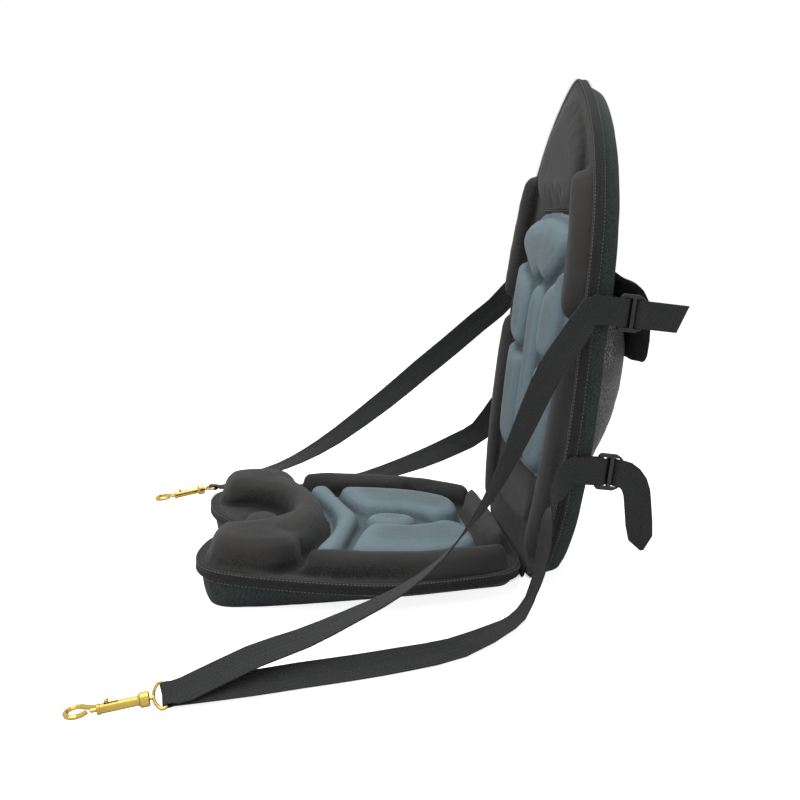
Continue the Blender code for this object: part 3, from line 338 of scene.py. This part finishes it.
def cloth(name, group, colour, spread=0.35, sheen=0.06, bump=0.35, depth=0.0004,
          uv=None, folds_and_fold_shading=False, **values):
    """A fabric whose group gives its colour, height and roughness.

    With the fold mask, painted shade darkens its grooves and painted highlight lightens its ridges.
    """
    made, tree, shader = new_material(name)
    shader.inputs["Sheen Weight"].default_value = sheen
    shader.inputs["Sheen Roughness"].default_value = 0.5
    shader.inputs["Specular IOR Level"].default_value = 0.22
    node = tree.nodes.new("ShaderNodeGroup")
    node.node_tree = shader_group(group)
    low, high = tones(colour, spread)
    node.inputs["Dark"].default_value = low
    node.inputs["Light"].default_value = high
    for label, value in values.items():
        node.inputs[label].default_value = value
    if uv:
        source = tree.nodes.new("ShaderNodeUVMap")
        source.uv_map = uv
        tree.links.new(source.outputs["UV"], node.inputs["Vector"])
    else:
        source = tree.nodes.new("ShaderNodeTexCoord")
        tree.links.new(source.outputs["Object"], node.inputs["Vector"])
    # The fold mask paints shade into grooves and highlight onto ridges of the colour
    if folds_and_fold_shading:
        mask = tree.nodes.new("ShaderNodeAttribute")
        mask.attribute_name = "folds_and_fold_shading"
        tree.links.new(mask.outputs["Fac"], node.inputs["Painted_fold_shading"])
    add_relief(tree, shader, node.outputs["Height"], bump, depth)
    tree.links.new(node.outputs["Colour"], shader.inputs["Base Color"])
    tree.links.new(node.outputs["Roughness"], shader.inputs["Roughness"])
    return made


def hard(name, colour, metallic, roughness, spread=0.15, bump=0.05):
    """Metal or plastic with a faint mottle and a fine grain."""
    made, tree, shader = new_material(name)
    shader.inputs["Metallic"].default_value = metallic
    place = tree.nodes.new("ShaderNodeTexCoord")
    slow = noise_node(tree, place.outputs["Object"], 60.0, 4.0)
    fine = noise_node(tree, place.outputs["Object"], 900.0, 2.0)
    tree.links.new(colour_mix(tree, slow, *tones(colour, spread)), shader.inputs["Base Color"])
    rough = math_node(tree, "MULTIPLY_ADD", slow, 0.18, roughness - 0.09)
    tree.links.new(rough, shader.inputs["Roughness"])
    add_relief(tree, shader, fine, bump, 0.0002)
    return made


def net_cloth(name, colour):
    """Dark net over a silver backing: thin cell walls, with bands of light and dark from foot to hem."""
    made, tree, shader = new_material(name)
    shader.inputs["Sheen Weight"].default_value = 0.2
    shader.inputs["Roughness"].default_value = 0.5
    place = tree.nodes.new("ShaderNodeTexCoord")
    cells = tree.nodes.new("ShaderNodeTexVoronoi")
    cells.feature = "DISTANCE_TO_EDGE"
    cells.inputs["Scale"].default_value = 270.0
    cells.inputs["Randomness"].default_value = 0.9
    split = tree.nodes.new("ShaderNodeSeparateXYZ")
    tree.links.new(place.outputs["Object"], split.inputs[0])
    tree.links.new(place.outputs["Object"], cells.inputs["Vector"])
    slow = noise_node(tree, place.outputs["Object"], 26.0, 4.0)
    edge = tree.nodes.new("ShaderNodeMapRange")
    edge.inputs["From Min"].default_value = 0.06
    edge.inputs["From Max"].default_value = 0.20
    tree.links.new(cells.outputs["Distance"], edge.inputs["Value"])
    band = tree.nodes.new("ShaderNodeValToRGB")
    marks = ((0.0, 0.03), (0.25, 0.15), (0.48, 0.55), (0.58, 0.12), (0.66, 0.85), (1.0, 1.0))
    while len(band.color_ramp.elements) < len(marks):
        band.color_ramp.elements.new(0.5)
    for element, (at, value) in zip(band.color_ramp.elements, marks):
        element.position = at
        element.color = (value, value, value, 1)
    height = tree.nodes.new("ShaderNodeMapRange")
    height.inputs["From Min"].default_value, height.inputs["From Max"].default_value = NET_BANDS
    tree.links.new(split.outputs["Z"], height.inputs["Value"])
    tree.links.new(height.outputs["Result"], band.inputs["Fac"])
    shade = math_node(tree, "MULTIPLY", edge.outputs["Result"], math_node(tree, "ADD", slow, 0.35))
    shade = math_node(tree, "MULTIPLY", shade, band.outputs["Color"])
    tree.links.new(colour_mix(tree, shade, (0.02, 0.02, 0.02, 1), (*colour, 1)), shader.inputs["Base Color"])
    add_relief(tree, shader, edge.outputs["Result"], 0.4, 0.0006, invert=True)
    return made


# Meshes


def deselect():
    bpy.ops.object.select_all(action="DESELECT")


def make_active(obj):
    deselect()
    obj.select_set(True)
    bpy.context.view_layer.objects.active = obj


def linked(name, data):
    """A new object in the scene, at the origin."""
    made = bpy.data.objects.new(name, data)
    bpy.context.scene.collection.objects.link(made)
    return made


def node_copy(node, name):
    """A merged copy of a solid's mesh, as a new object."""
    made = linked(name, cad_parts[node].data.copy())
    made.data.materials.clear()
    make_active(made)
    bpy.ops.object.mode_set(mode="EDIT")
    bpy.ops.mesh.select_all(action="SELECT")
    bpy.ops.mesh.remove_doubles(threshold=0.00002)
    bpy.ops.object.mode_set(mode="OBJECT")
    if made.data.has_custom_normals:
        bpy.ops.mesh.customdata_custom_splitnormals_clear()
    return made


def apply_all(obj):
    """Applies an object's modifiers in their order."""
    make_active(obj)
    for modifier in list(obj.modifiers):
        bpy.ops.object.modifier_apply(modifier=modifier.name)


def dress(obj, material, body, slot, *nodes):
    """Gives a piece its material and its body, and lets it stand for solids."""
    obj.data.materials.clear()
    obj.data.materials.append(material)
    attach(obj, body)
    if nodes:
        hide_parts(*nodes)
    return obj


def new_object(name, mesh):
    """A new object from a bmesh, which is freed."""
    data = bpy.data.meshes.new(name)
    mesh.to_mesh(data)
    mesh.free()
    made = linked(name, data)
    make_active(made)
    return made


def add_copy(mesh, single, turn):
    """Adds a copy of one object's mesh to a bmesh, at a place."""
    before = len(mesh.verts)
    mesh.from_mesh(single.data)
    mesh.verts.ensure_lookup_table()
    for vertex in mesh.verts[before:]:
        vertex.co = turn @ vertex.co


def smooth(obj, below):
    """Shades an object smooth, but for edges sharper than an angle in degrees."""
    make_active(obj)
    bpy.ops.object.shade_smooth_by_angle(angle=math.radians(below))


def subdivide(obj, levels):
    """Rounds a mesh with applied subdivision."""
    change = obj.modifiers.new("Subdivision", "SUBSURF")
    change.levels = change.render_levels = levels
    apply_all(obj)


def remesh(obj, plane, voxel, edge):
    """Even faces all over, smoothed but for what lies low at the edge, which keeps to the solid."""
    solid = linked("solid", obj.data.copy())
    change = obj.modifiers.new("Remesh", "REMESH")
    change.mode = "VOXEL"
    change.voxel_size = voxel
    apply_all(obj)
    to_plane = plane.inverted()
    places = kdtree.KDTree(len(edge))
    for i, place in enumerate(edge):
        places.insert(place, i)
    places.balance()
    local = [to_plane @ v.co for v in obj.data.vertices]
    rim = [i for i, q in enumerate(local) if q.z < RIM_TOP and places.find(q)[2] < RIM_WIDTH]
    obj.vertex_groups.new(name="rim").add(rim, 1.0, "REPLACE")
    ease = obj.modifiers.new("Smooth", "SMOOTH")
    ease.factor = 0.5
    ease.iterations = 1
    wrap = obj.modifiers.new("Shrinkwrap", "SHRINKWRAP")
    wrap.target = solid
    wrap.vertex_group = "rim"
    apply_all(obj)
    obj.vertex_groups.clear()
    bpy.data.objects.remove(solid, do_unlink=True)


def swell(obj, plane, cap):
    """Fills the padding, by a short cloth simulation under pressure with a limit on the bulge."""
    to_plane = plane.inverted()
    start = [v.co.copy() for v in obj.data.vertices]
    held = [i for i, co in enumerate(start) if (to_plane @ co).z < UNDERSIDE]
    obj.vertex_groups.new(name="held").add(held, 1.0, "REPLACE")
    cloth_change = obj.modifiers.new("Cloth", "CLOTH")
    settings = cloth_change.settings
    settings.quality = 4
    settings.mass = 0.3
    settings.use_pressure = True
    settings.uniform_pressure_force = 4.0
    settings.tension_stiffness = 12
    settings.compression_stiffness = 12
    settings.bending_stiffness = 4.0
    settings.effector_weights.gravity = 0
    settings.vertex_group_mass = "held"
    cloth_change.collision_settings.use_self_collision = False
    cloth_change.collision_settings.use_collision = False
    scene = bpy.context.scene
    for number in range(1, FILL_FRAMES + 1):
        scene.frame_set(number)
    make_active(obj)
    bpy.ops.object.modifier_apply(modifier=cloth_change.name)
    scene.frame_set(1)
    for vertex, before in zip(obj.data.vertices, start):
        shift = vertex.co - before
        if shift.length > cap:
            vertex.co = before + shift * (cap / shift.length)
    obj.vertex_groups.clear()


def mark_fold_shading(obj):
    """Stores how far each point stands out from its smoothed surroundings: 0 in a groove, 1 on a ridge."""
    mesh = obj.data
    near = [[] for _ in mesh.vertices]
    for edge in mesh.edges:
        one, other = edge.vertices
        near[one].append(other)
        near[other].append(one)
    eased = [v.co.copy() for v in mesh.vertices]
    for _ in range(FOLD_SHADING_PASSES):
        eased = [sum((eased[j] for j in close), Vector()) / len(close) for close in near]
    depths = [(eased[v.index] - v.co).dot(v.normal) for v in mesh.vertices]
    for _ in range(FOLD_SHADING_EASING):
        depths = [(depths[i] + sum(depths[j] for j in close)) / (1 + len(close))
                  for i, close in enumerate(near)]
    # The mask for painted shade in grooves and painted highlight on ridges of the cloth's colour
    layer = mesh.attributes.new("folds_and_fold_shading", "FLOAT", "POINT")
    layer.data.foreach_set("value", [max(0.0, min(1.0, 0.5 - depth / FOLD_SHADING_REACH)) for depth in depths])


def ripple(obj, plane, size, scale, above):
    """Small uneven folds in what lies above a height over the plane."""
    to_plane = plane.inverted()
    normals = [v.normal.copy() for v in obj.data.vertices]
    for vertex, normal in zip(obj.data.vertices, normals):
        if (to_plane @ vertex.co).z > above:
            folds_and_fold_shading = noise.noise(vertex.co * scale) + 0.5 * noise.noise(vertex.co * scale * 2.7)
            vertex.co += normal * size * folds_and_fold_shading


def creases(obj, plane, depth):
    """Long shallow folds that run round the side cloth."""
    to_plane = plane.inverted()
    normals = [v.normal.copy() for v in obj.data.vertices]
    for vertex, normal in zip(obj.data.vertices, normals):
        local = to_plane @ vertex.co
        fold = noise.noise(Vector((local.x * 12, local.y * 12, local.z * 150)))
        vertex.co -= normal * depth * (0.5 + 0.5 * fold)


def bulge(obj):
    """Lets the net hang out behind the back between its foot and its hem."""
    to_plane = BACK_PLANE.inverted()
    for vertex in obj.data.vertices:
        local = to_plane @ vertex.co
        share = (local.y - NET_FOOT) / (NET_TOP - NET_FOOT)
        if 0 < share < 1:
            middle = max(0.0, 1 - (abs(local.x) / NET_HALF) ** 4)
            local.z -= NET_BULGE * math.sin(math.pi * share ** 1.6) ** 0.8 * middle
            vertex.co = BACK_PLANE @ local


def padded_form(node, name, plane, voxel, cap):
    """A soft padded form from a moulded solid."""
    made = node_copy(node, name)
    binding = node.split("_")[0] + "_binding"
    marks = even_points(edge_loop(binding, plane, BINDING_TOP), RIM_MARKS)
    remesh(made, plane, voxel, [place for place, _ in marks])
    swell(made, plane, cap)
    # Mask for painted shade in grooves and painted highlight on ridges
    mark_fold_shading(made)
    subdivide(made, 1)
    ripple(made, plane, size=0.00025, scale=42.0, above=0.004)
    for polygon in made.data.polygons:
        polygon.use_smooth = True
    return made


def layers_from(ring, near):
    """Rings of four vertices one after another from a first ring, or None where one has another count."""
    rings, seen = [], set()
    while ring:
        if len(ring) != 4:
            return None
        rings.append(ring)
        seen |= ring
        ring = set.union(*(near[w] for w in ring)) - seen
    return rings


def ribbon_rings(node):
    """The rings of four corners along a flat strip, in order from one end."""
    mesh = bmesh.new()
    mesh.from_mesh(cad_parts[node].data)
    bmesh.ops.remove_doubles(mesh, verts=mesh.verts, dist=0.00001)
    mesh.verts.ensure_lookup_table()
    near = {v: {e.other_vert(v) for e in v.link_edges} for v in mesh.verts}
    order, seen = [mesh.verts[0]], {mesh.verts[0]}
    for v in order:
        fresh = sorted(near[v] - seen, key=lambda w: w.index)
        seen.update(fresh)
        order.extend(fresh)
    end = order[-1]
    close = sorted(set.union(near[end], *(near[w] for w in near[end])) - {end}, key=lambda w: w.index)
    rings = None
    for others in itertools.combinations(close, 3):
        rings = layers_from({end, *others}, near)
        if rings:
            break
    if not rings:
        raise RuntimeError(f"{node} isn't a plain strip")
    ordered = []
    for ring in rings:
        points = [w.co.copy() for w in sorted(ring, key=lambda w: w.index)]
        centre = sum(points, Vector()) / 4
        if not ordered:
            first = points[0]
            rest = sorted(points[1:], key=lambda q: (q - first).length)
            row = [first, rest[1], rest[2], rest[0]]
        else:
            before, middle = ordered[-1]
            row = []
            left = list(points)
            for corner in before:
                best = min(left, key=lambda q: ((q - centre) - (corner - middle)).length)
                left.remove(best)
                row.append(best)
        ordered.append((row, centre))
    mesh.free()
    return [row for row, _ in ordered]


def untangled(rings):
    """The same rings, with corners that run backwards in a sharp bend spread between their neighbours."""
    rings = [list(row) for row in rings]
    for _ in range(UNTANGLE_PASSES):
        for i in range(1, len(rings) - 2):
            onward = sum(rings[i + 1], Vector()) - sum(rings[i], Vector())
            for k in range(4):
                if (rings[i + 1][k] - rings[i][k]).dot(onward) < 0:
                    before, after = rings[i - 1][k], rings[i + 2][k]
                    rings[i][k] = rings[i][k].lerp(before.lerp(after, 1 / 3), UNTANGLE_PULL)
                    rings[i + 1][k] = rings[i + 1][k].lerp(before.lerp(after, 2 / 3), UNTANGLE_PULL)
    return rings


def woven_strip(name, rings):
    """A woven strip with thicker edges, drawn through the corners of a flat strip, mapped in metres."""
    across = (0.0, 0.02, 0.06, 0.12, 0.5, 0.88, 0.94, 0.98, 1.0)
    lift = [STRIP_EDGE * share for share in (0.0, 0.55, 1.0, 0.0, 0.0, 0.0, 1.0, 0.55, 0.0)]
    mesh = bmesh.new()
    uv = mesh.loops.layers.uv.new("Metres")
    rows, along = [], 0.0
    previous = None
    for a, b, c, d in untangled(rings):
        centre = (a + b + c + d) / 4
        if previous is not None:
            along += (centre - previous).length
        previous = centre
        width = (b - a).length
        out = (d - a).normalized()
        row = []
        for share, rise in zip(across, lift):
            row.append((c.lerp(d, 1 - share) + out * (rise * 0.25), width * share))
        for share, rise in reversed(list(zip(across, lift))):
            row.append((a.lerp(b, share) - out * (rise * 0.25), width * share + STRIP_BACK))
        rows.append(([mesh.verts.new(p) for p, _ in row], [w for _, w in row], along))
    for (one, wide, s), (other, _, t) in zip(rows, rows[1:]):
        for i in range(len(one)):
            j = (i + 1) % len(one)
            face = mesh.faces.new((one[i], one[j], other[j], other[i]))
            for loop, place in zip(face.loops, ((wide[i], s), (wide[j], s), (wide[j], t), (wide[i], t))):
                loop[uv].uv = place
    for row, _, _ in (rows[0], rows[-1]):
        half = len(row) // 2
        for i in range(half - 1):
            mesh.faces.new((row[i], row[i + 1], row[-2 - i], row[-1 - i]))
    bmesh.ops.recalc_face_normals(mesh, faces=mesh.faces)
    made = new_object(name, mesh)
    smooth(made, 50)
    return made


def edge_loop(node, plane, height):
    """Points round a binding at a height over its plane, in order, in the plane's axes."""
    to_plane = plane.inverted()
    points = {}
    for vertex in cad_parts[node].data.vertices:
        local = to_plane @ vertex.co
        if abs(local.z - height) < 0.0001:
            points[(round(local.x, 4), round(local.y, 4))] = local
    chosen = list(points.values())
    centre = sum(chosen, Vector()) / len(chosen)
    chosen.sort(key=lambda q: math.atan2(q.y - centre.y, q.x - centre.x))
    return chosen


def even_points(loop, pitch):
    """Points at an even pitch round a closed loop, each with the direction there."""
    dense = []
    count = len(loop)
    for i in range(count):
        a, b, c, d = (loop[(i + k - 1) % count] for k in range(4))
        for step in range(6):
            t = step / 6
            dense.append(0.5 * (2 * b + (c - a) * t + (2 * a - 5 * b + 4 * c - d) * t * t
                                + (3 * b - a - 3 * c + d) * t ** 3))
    total = sum((q - p).length for p, q in zip(dense, dense[1:] + dense[:1]))
    number = round(total / pitch)
    made, gone, target = [], 0.0, 0.0
    for p, q in zip(dense, dense[1:] + dense[:1]):
        length = (q - p).length
        while target < gone + length and len(made) < number:
            made.append((p.lerp(q, (target - gone) / length), (q - p).normalized()))
            target += total / number
        gone += length
    return made


def stitch_rows(name, rows, length, radius):
    """Rows of stitches as one object. A row is a list of place, direction and the way out of the cloth."""
    bpy.ops.mesh.primitive_uv_sphere_add(segments=6, ring_count=4, radius=1)
    single = bpy.context.object
    mesh = bmesh.new()
    for row in rows:
        for place, along, out in row:
            side = along.cross(out).normalized()
            axes = Matrix((along * length / 2, side * radius, along.cross(side).normalized() * radius * 0.7))
            turn = Matrix.Translation(place) @ axes.transposed().to_4x4()
            add_copy(mesh, single, turn)
    bmesh.ops.recalc_face_normals(mesh, faces=mesh.faces)
    bpy.data.objects.remove(single, do_unlink=True)
    made = new_object(name, mesh)
    bpy.ops.object.shade_smooth()
    return made


def cross_ribs(name, places, half, radius, plane):
    """Round ribs across a panel. One is modelled, and the others are copies of it."""
    bpy.ops.mesh.primitive_cylinder_add(vertices=12, radius=radius, depth=2 * half)
    single = bpy.context.object
    change = single.modifiers.new("Bevel", "BEVEL")
    change.width = radius * 0.6
    change.segments = 2
    change.angle_limit = math.radians(60)
    apply_all(single)
    mesh = bmesh.new()
    for place in places:
        add_copy(mesh, single, plane @ Matrix.Translation(place) @ Matrix.Rotation(math.pi / 2, 4, "Y"))
    bpy.data.objects.remove(single, do_unlink=True)
    made = new_object(name, mesh)
    bpy.ops.object.shade_smooth()
    return made


def closing_coil(side, material):
    """The spring behind a bolt, in steel on the snap's body, with a mesh of its own; the real one closes up
    as the bolt is drawn back.
    """
    coil = node_copy(f"{side}_snap_spring", f"{side}_coil")
    dress(coil, material, f"{side}_snap", "spring_steel", f"{side}_snap_spring")
    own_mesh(coil)


def rim_cloth(name, node, plane, material):
    """The panel's cloth between its raised part and the tape, as a thin closed band."""
    mesh = bmesh.new()
    rings = []
    for place, along in even_points(edge_loop(node, plane, BINDING_TOP), RIM_PITCH):
        outward = Vector((along.y, -along.x, 0))
        corners = [place + outward * out + Vector((0, 0, up)) for out, up in RIM_CORNERS]
        rings.append([mesh.verts.new(plane @ corner) for corner in corners])
    for one, two in zip(rings, rings[1:] + rings[:1]):
        for i in range(4):
            j = (i + 1) % 4
            mesh.faces.new((one[i], one[j], two[j], two[i]))
    bmesh.ops.recalc_face_normals(mesh, faces=mesh.faces)
    made = new_object(name, mesh)
    smooth(made, 40)
    return dress(made, material, "seat", "black_fabric")


def binding_stitches(name, node, plane, pitch, material):
    """A row of stitches on the upper ridge of a binding and one on the lower ridge."""
    rows = []
    turn = plane.to_3x3()
    for height in STITCH_ROWS:
        row = []
        for place, along in even_points(edge_loop(node, plane, height), pitch):
            outward = Vector((along.y, -along.x, 0))
            out = (outward * 0.45 + Vector((0, 0, math.copysign(0.9, height)))).normalized()
            row.append((plane @ (place + out * STITCH_LIFT), turn @ along, turn @ out))
        rows.append(row)
    made = stitch_rows(name, rows, pitch * STITCH_SHARE, STITCH_RADIUS)
    return dress(made, material, "seat", "binding_tape")


# Operators


class KAYAK_OT_stage(bpy.types.Operator):
    """Camera, floor and light"""

    bl_idname = "kayak.stage"
    bl_label = "Stage"

    def execute(self, context):
        look = context.scene.kayak_stage
        data = bpy.data.cameras.new("camera")
        data.lens = look.lens
        data.sensor_width = 36
        data.clip_start = 0.01
        camera = linked("camera", data)
        level = math.cos(look.dip)
        away = Vector((-math.sin(look.heading) * level, math.cos(look.heading) * level, -math.sin(look.dip)))
        camera.location = look.place
        camera.rotation_euler = away.to_track_quat("-Z", "Y").to_euler()
        context.scene.camera = camera
        deselect()
        bpy.ops.mesh.primitive_plane_add(size=12, location=(0, 0, -0.0004))
        floor = context.object
        floor.name = "floor"
        floor.data.materials.append(self.floor_material())
        for name, place, size, power in (
            ("key", (1.3, -1.1, 1.9), 1.6, look.key),
            ("fill", (1.6, 1.2, 1.2), 1.4, look.fill),
            ("top", (-0.3, 0.0, 2.1), 1.8, look.key * 1.1),
        ):
            lamp = bpy.data.lights.new(name, "AREA")
            lamp.size = size
            lamp.energy = power
            holder = linked(name, lamp)
            holder.location = place
            aim = Vector(LAMP_TARGET) - Vector(place)
            holder.rotation_euler = aim.to_track_quat("-Z", "Y").to_euler()
        world = bpy.data.worlds.new("plain")
        context.scene.world = world
        world.use_nodes = True
        tree = world.node_tree
        back = tree.nodes["Background"]
        path = tree.nodes.new("ShaderNodeLightPath")
        seen = math_node(tree, "MAXIMUM", path.outputs["Is Camera Ray"], path.outputs["Is Glossy Ray"])
        seen = math_node(tree, "MAXIMUM", seen, path.outputs["Is Transmission Ray"])
        strength = tree.nodes.new("ShaderNodeMapRange")
        strength.inputs["To Min"].default_value = look.sky
        strength.inputs["To Max"].default_value = 1.0
        tree.links.new(seen, strength.inputs["Value"])
        back.inputs["Color"].default_value = (1, 1, 1, 1)
        tree.links.new(strength.outputs["Result"], back.inputs["Strength"])
        context.scene.view_settings.view_transform = "Standard"
        return {"FINISHED"}

    def floor_material(self):
        made, tree, shader = new_material("floor")
        shader.inputs["Base Color"].default_value = (0.90, 0.90, 0.90, 1)
        shader.inputs["Roughness"].default_value = 0.9
        shader.inputs["Specular IOR Level"].default_value = 0.0
        path = tree.nodes.new("ShaderNodeLightPath")
        shader.inputs["Emission Color"].default_value = (1, 1, 1, 1)
        glow = math_node(tree, "MULTIPLY", path.outputs["Is Camera Ray"], 0.87)
        tree.links.new(glow, shader.inputs["Emission Strength"])
        return made


class KAYAK_OT_panels(bpy.types.Operator):
    """Black moulded panels of the seat base and the backrest"""

    bl_idname = "kayak.panels"
    bl_label = "Moulded panels"

    def execute(self, context):
        look = context.scene.kayak_cloth
        # The black cloth gets painted shade in its grooves and painted highlight on its ridges
        material = cloth("black_fabric", "cloth_weave", look.black, spread=0.85, sheen=0.10, folds_and_fold_shading=True,
                         Threads=threads(0.0016))
        for node, plane in PANELS:
            made = padded_form(node, node.replace("panel", "cover"), plane, look.voxel, look.swell)
            dress(made, material, "seat", "black_fabric", node)
        plain = cloth("rim_fabric", "cloth_weave", look.black, spread=0.85, sheen=0.10,
                      Threads=threads(0.0016))
        for node, plane in BINDINGS:
            rim_cloth(node.replace("binding", "rim_cloth"), node, plane, plain)
        places = [(0, y, RIB_HEIGHT) for y in RIB_PLACES]
        ribs = cross_ribs("head_ribs", places, RIB_HALF, RIB_RADIUS, BACK_PLANE)
        dress(ribs, plain, "seat", "black_fabric")
        return {"FINISHED"}


class KAYAK_OT_inserts(bpy.types.Operator):
    """Grey soft inserts with their channels"""

    bl_idname = "kayak.inserts"
    bl_label = "Grey inserts"

    def execute(self, context):
        look = context.scene.kayak_cloth
        # The grey cloth gets painted shade in its grooves and painted highlight on its ridges
        material = cloth("grey_fabric", "smooth_knit", look.grey, spread=0.34, bump=0.15, depth=0.0002,
                         folds_and_fold_shading=True)
        grain = look.voxel * INSERT_GRAIN
        for node, plane in INSERTS:
            made = padded_form(node, node.replace("pad", "insert"), plane, grain, look.swell)
            dress(made, material, "seat", "grey_fabric", node)
        return {"FINISHED"}


class KAYAK_OT_covers(bpy.types.Operator):
    """Side covers in coarse cloth, and the sewn tape between seat and back"""

    bl_idname = "kayak.covers"
    bl_label = "Side covers"

    def execute(self, context):
        look = context.scene.kayak_cloth
        material = cloth("gusset_fabric", "cloth_weave", look.gusset, spread=0.75, bump=0.5,
                         Threads=threads(0.0022))
        for node, plane in TRAYS:
            made = node_copy(node, node.replace("tray", "cloth"))
            subdivide(made, 2)
            creases(made, plane, depth=0.0006)
            smooth(made, 60)
            dress(made, material, "seat", "gusset_fabric", node)
        tape = cloth("hinge_fabric", "cloth_weave", look.tape, spread=0.4, bump=0.5, Threads=threads(0.0018))
        made = node_copy("hinge_strip", "hinge_tape")
        smooth(made, 40)
        dress(made, tape, "seat", "binding_tape", "hinge_strip")
        return {"FINISHED"}


class KAYAK_OT_bindings(bpy.types.Operator):
    """Double-ridged binding with its rows of stitches"""

    bl_idname = "kayak.bindings"
    bl_label = "Bindings"

    def execute(self, context):
        look = context.scene.kayak_cloth
        tape = cloth("binding_tape", "cloth_weave", look.tape, spread=0.45, bump=0.6, Threads=threads(0.0015))
        for node, _ in BINDINGS:
            made = node_copy(node, node + "_tape")
            subdivide(made, 2)
            smooth(made, 70)
            dress(made, tape, "seat", "binding_tape", node)
        thread = cloth("thread", "smooth_knit", look.thread, spread=0.3)
        for node, plane in BINDINGS:
            binding_stitches(node.replace("binding", "stitches"), node, plane, look.stitch, thread)
        return {"FINISHED"}


class KAYAK_OT_straps(bpy.types.Operator):
    """Webbing of the harness"""

    bl_idname = "kayak.straps"
    bl_label = "Webbing"

    def execute(self, context):
        look = context.scene.kayak_cloth
        material = cloth("webbing", "webbing_weave", look.webbing, spread=0.65, bump=0.6, depth=0.0005,
                         uv="Metres")
        names = [f"{side}_webbing" for side in SIDES]
        names += [f"{side}_{level}_anchor" for side in SIDES for level in LEVELS]
        for node in names:
            made = woven_strip(node + "_weave", ribbon_rings(node))
            dress(made, material, "seat", "webbing", node)
        return {"FINISHED"}


class KAYAK_OT_pocket(bpy.types.Operator):
    """Net pocket, its band and its flap"""

    bl_idname = "kayak.pocket"
    bl_label = "Rear pocket"

    def execute(self, context):
        look = context.scene.kayak_cloth
        net = net_cloth("pocket_mesh", look.net)
        black = cloth("flap_fabric", "cloth_weave", look.black, spread=0.4, bump=0.5, Threads=threads(0.0018))
        for node, name, material, slot in (
            ("pocket_mesh", "pocket_net", net, "pocket_mesh"),
            ("pocket_band", "pocket_hem", black, "binding_tape"),
            ("pocket_flap", "pocket_lid", black, "black_fabric"),
        ):
            made = node_copy(node, name)
            subdivide(made, 2)
            if node == "pocket_mesh":
                bulge(made)
            ripple(made, BACK_PLANE, size=0.0009, scale=38.0, above=-1.0)
            smooth(made, 60)
            dress(made, material, "seat", slot, node)
        return {"FINISHED"}


class KAYAK_OT_hardware(bpy.types.Operator):
    """Finishes of the buckles, the snaps and what is inside"""

    bl_idname = "kayak.hardware"
    bl_label = "Hardware"

    def execute(self, context):
        brass = hard("brass", (0.60, 0.42, 0.11), 1.0, 0.20, spread=0.25)
        plastic = hard("plastic", (0.016, 0.016, 0.017), 0.0, 0.30, bump=0.1)
        steel = hard("spring_steel", (0.56, 0.56, 0.57), 1.0, 0.3)
        foam = cloth("foam", "smooth_knit", (0.09, 0.09, 0.09))
        sheet = hard("stiffener_sheet", (0.6, 0.6, 0.57), 0.0, 0.5)
        finishes = {"seat_foam_core": foam, "back_foam_core": foam, "back_stiffener": sheet}
        for side in SIDES:
            for level in LEVELS:
                finishes[f"{side}_{level}_buckle"] = plastic
            for part in ("body", "eye", "bolt"):
                finishes[f"{side}_snap_{part}"] = brass
            closing_coil(side, steel)
        for node, material in finishes.items():
            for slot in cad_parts[node].material_slots:
                slot.material = material
        return {"FINISHED"}


class KAYAK_PT_panel(bpy.types.Panel):
    """Lists the steps in order"""

    bl_label = "Kayak Seat"
    bl_space_type = "VIEW_3D"
    bl_region_type = "UI"
    bl_category = "Kayak Seat"

    def draw(self, context):
        for step in STEPS:
            self.layout.operator(step.bl_idname)


STEPS = (KAYAK_OT_stage, KAYAK_OT_panels, KAYAK_OT_inserts, KAYAK_OT_covers, KAYAK_OT_bindings,
         KAYAK_OT_straps, KAYAK_OT_pocket, KAYAK_OT_hardware)
CLASSES = (KayakCloth, KayakStage, *STEPS, KAYAK_PT_panel)


def register():
    for made in CLASSES:
        bpy.utils.register_class(made)
    bpy.types.Scene.kayak_cloth = PointerProperty(type=KayakCloth)
    bpy.types.Scene.kayak_stage = PointerProperty(type=KayakStage)


def unregister():
    del bpy.types.Scene.kayak_stage
    del bpy.types.Scene.kayak_cloth
    for made in reversed(CLASSES):
        bpy.utils.unregister_class(made)


def main():
    register()
    bpy.ops.kayak.stage()
    bpy.ops.kayak.panels()
    bpy.ops.kayak.inserts()
    bpy.ops.kayak.covers()
    bpy.ops.kayak.bindings()
    bpy.ops.kayak.straps()
    bpy.ops.kayak.pocket()
    bpy.ops.kayak.hardware()


if __name__ == "__main__":
    main()
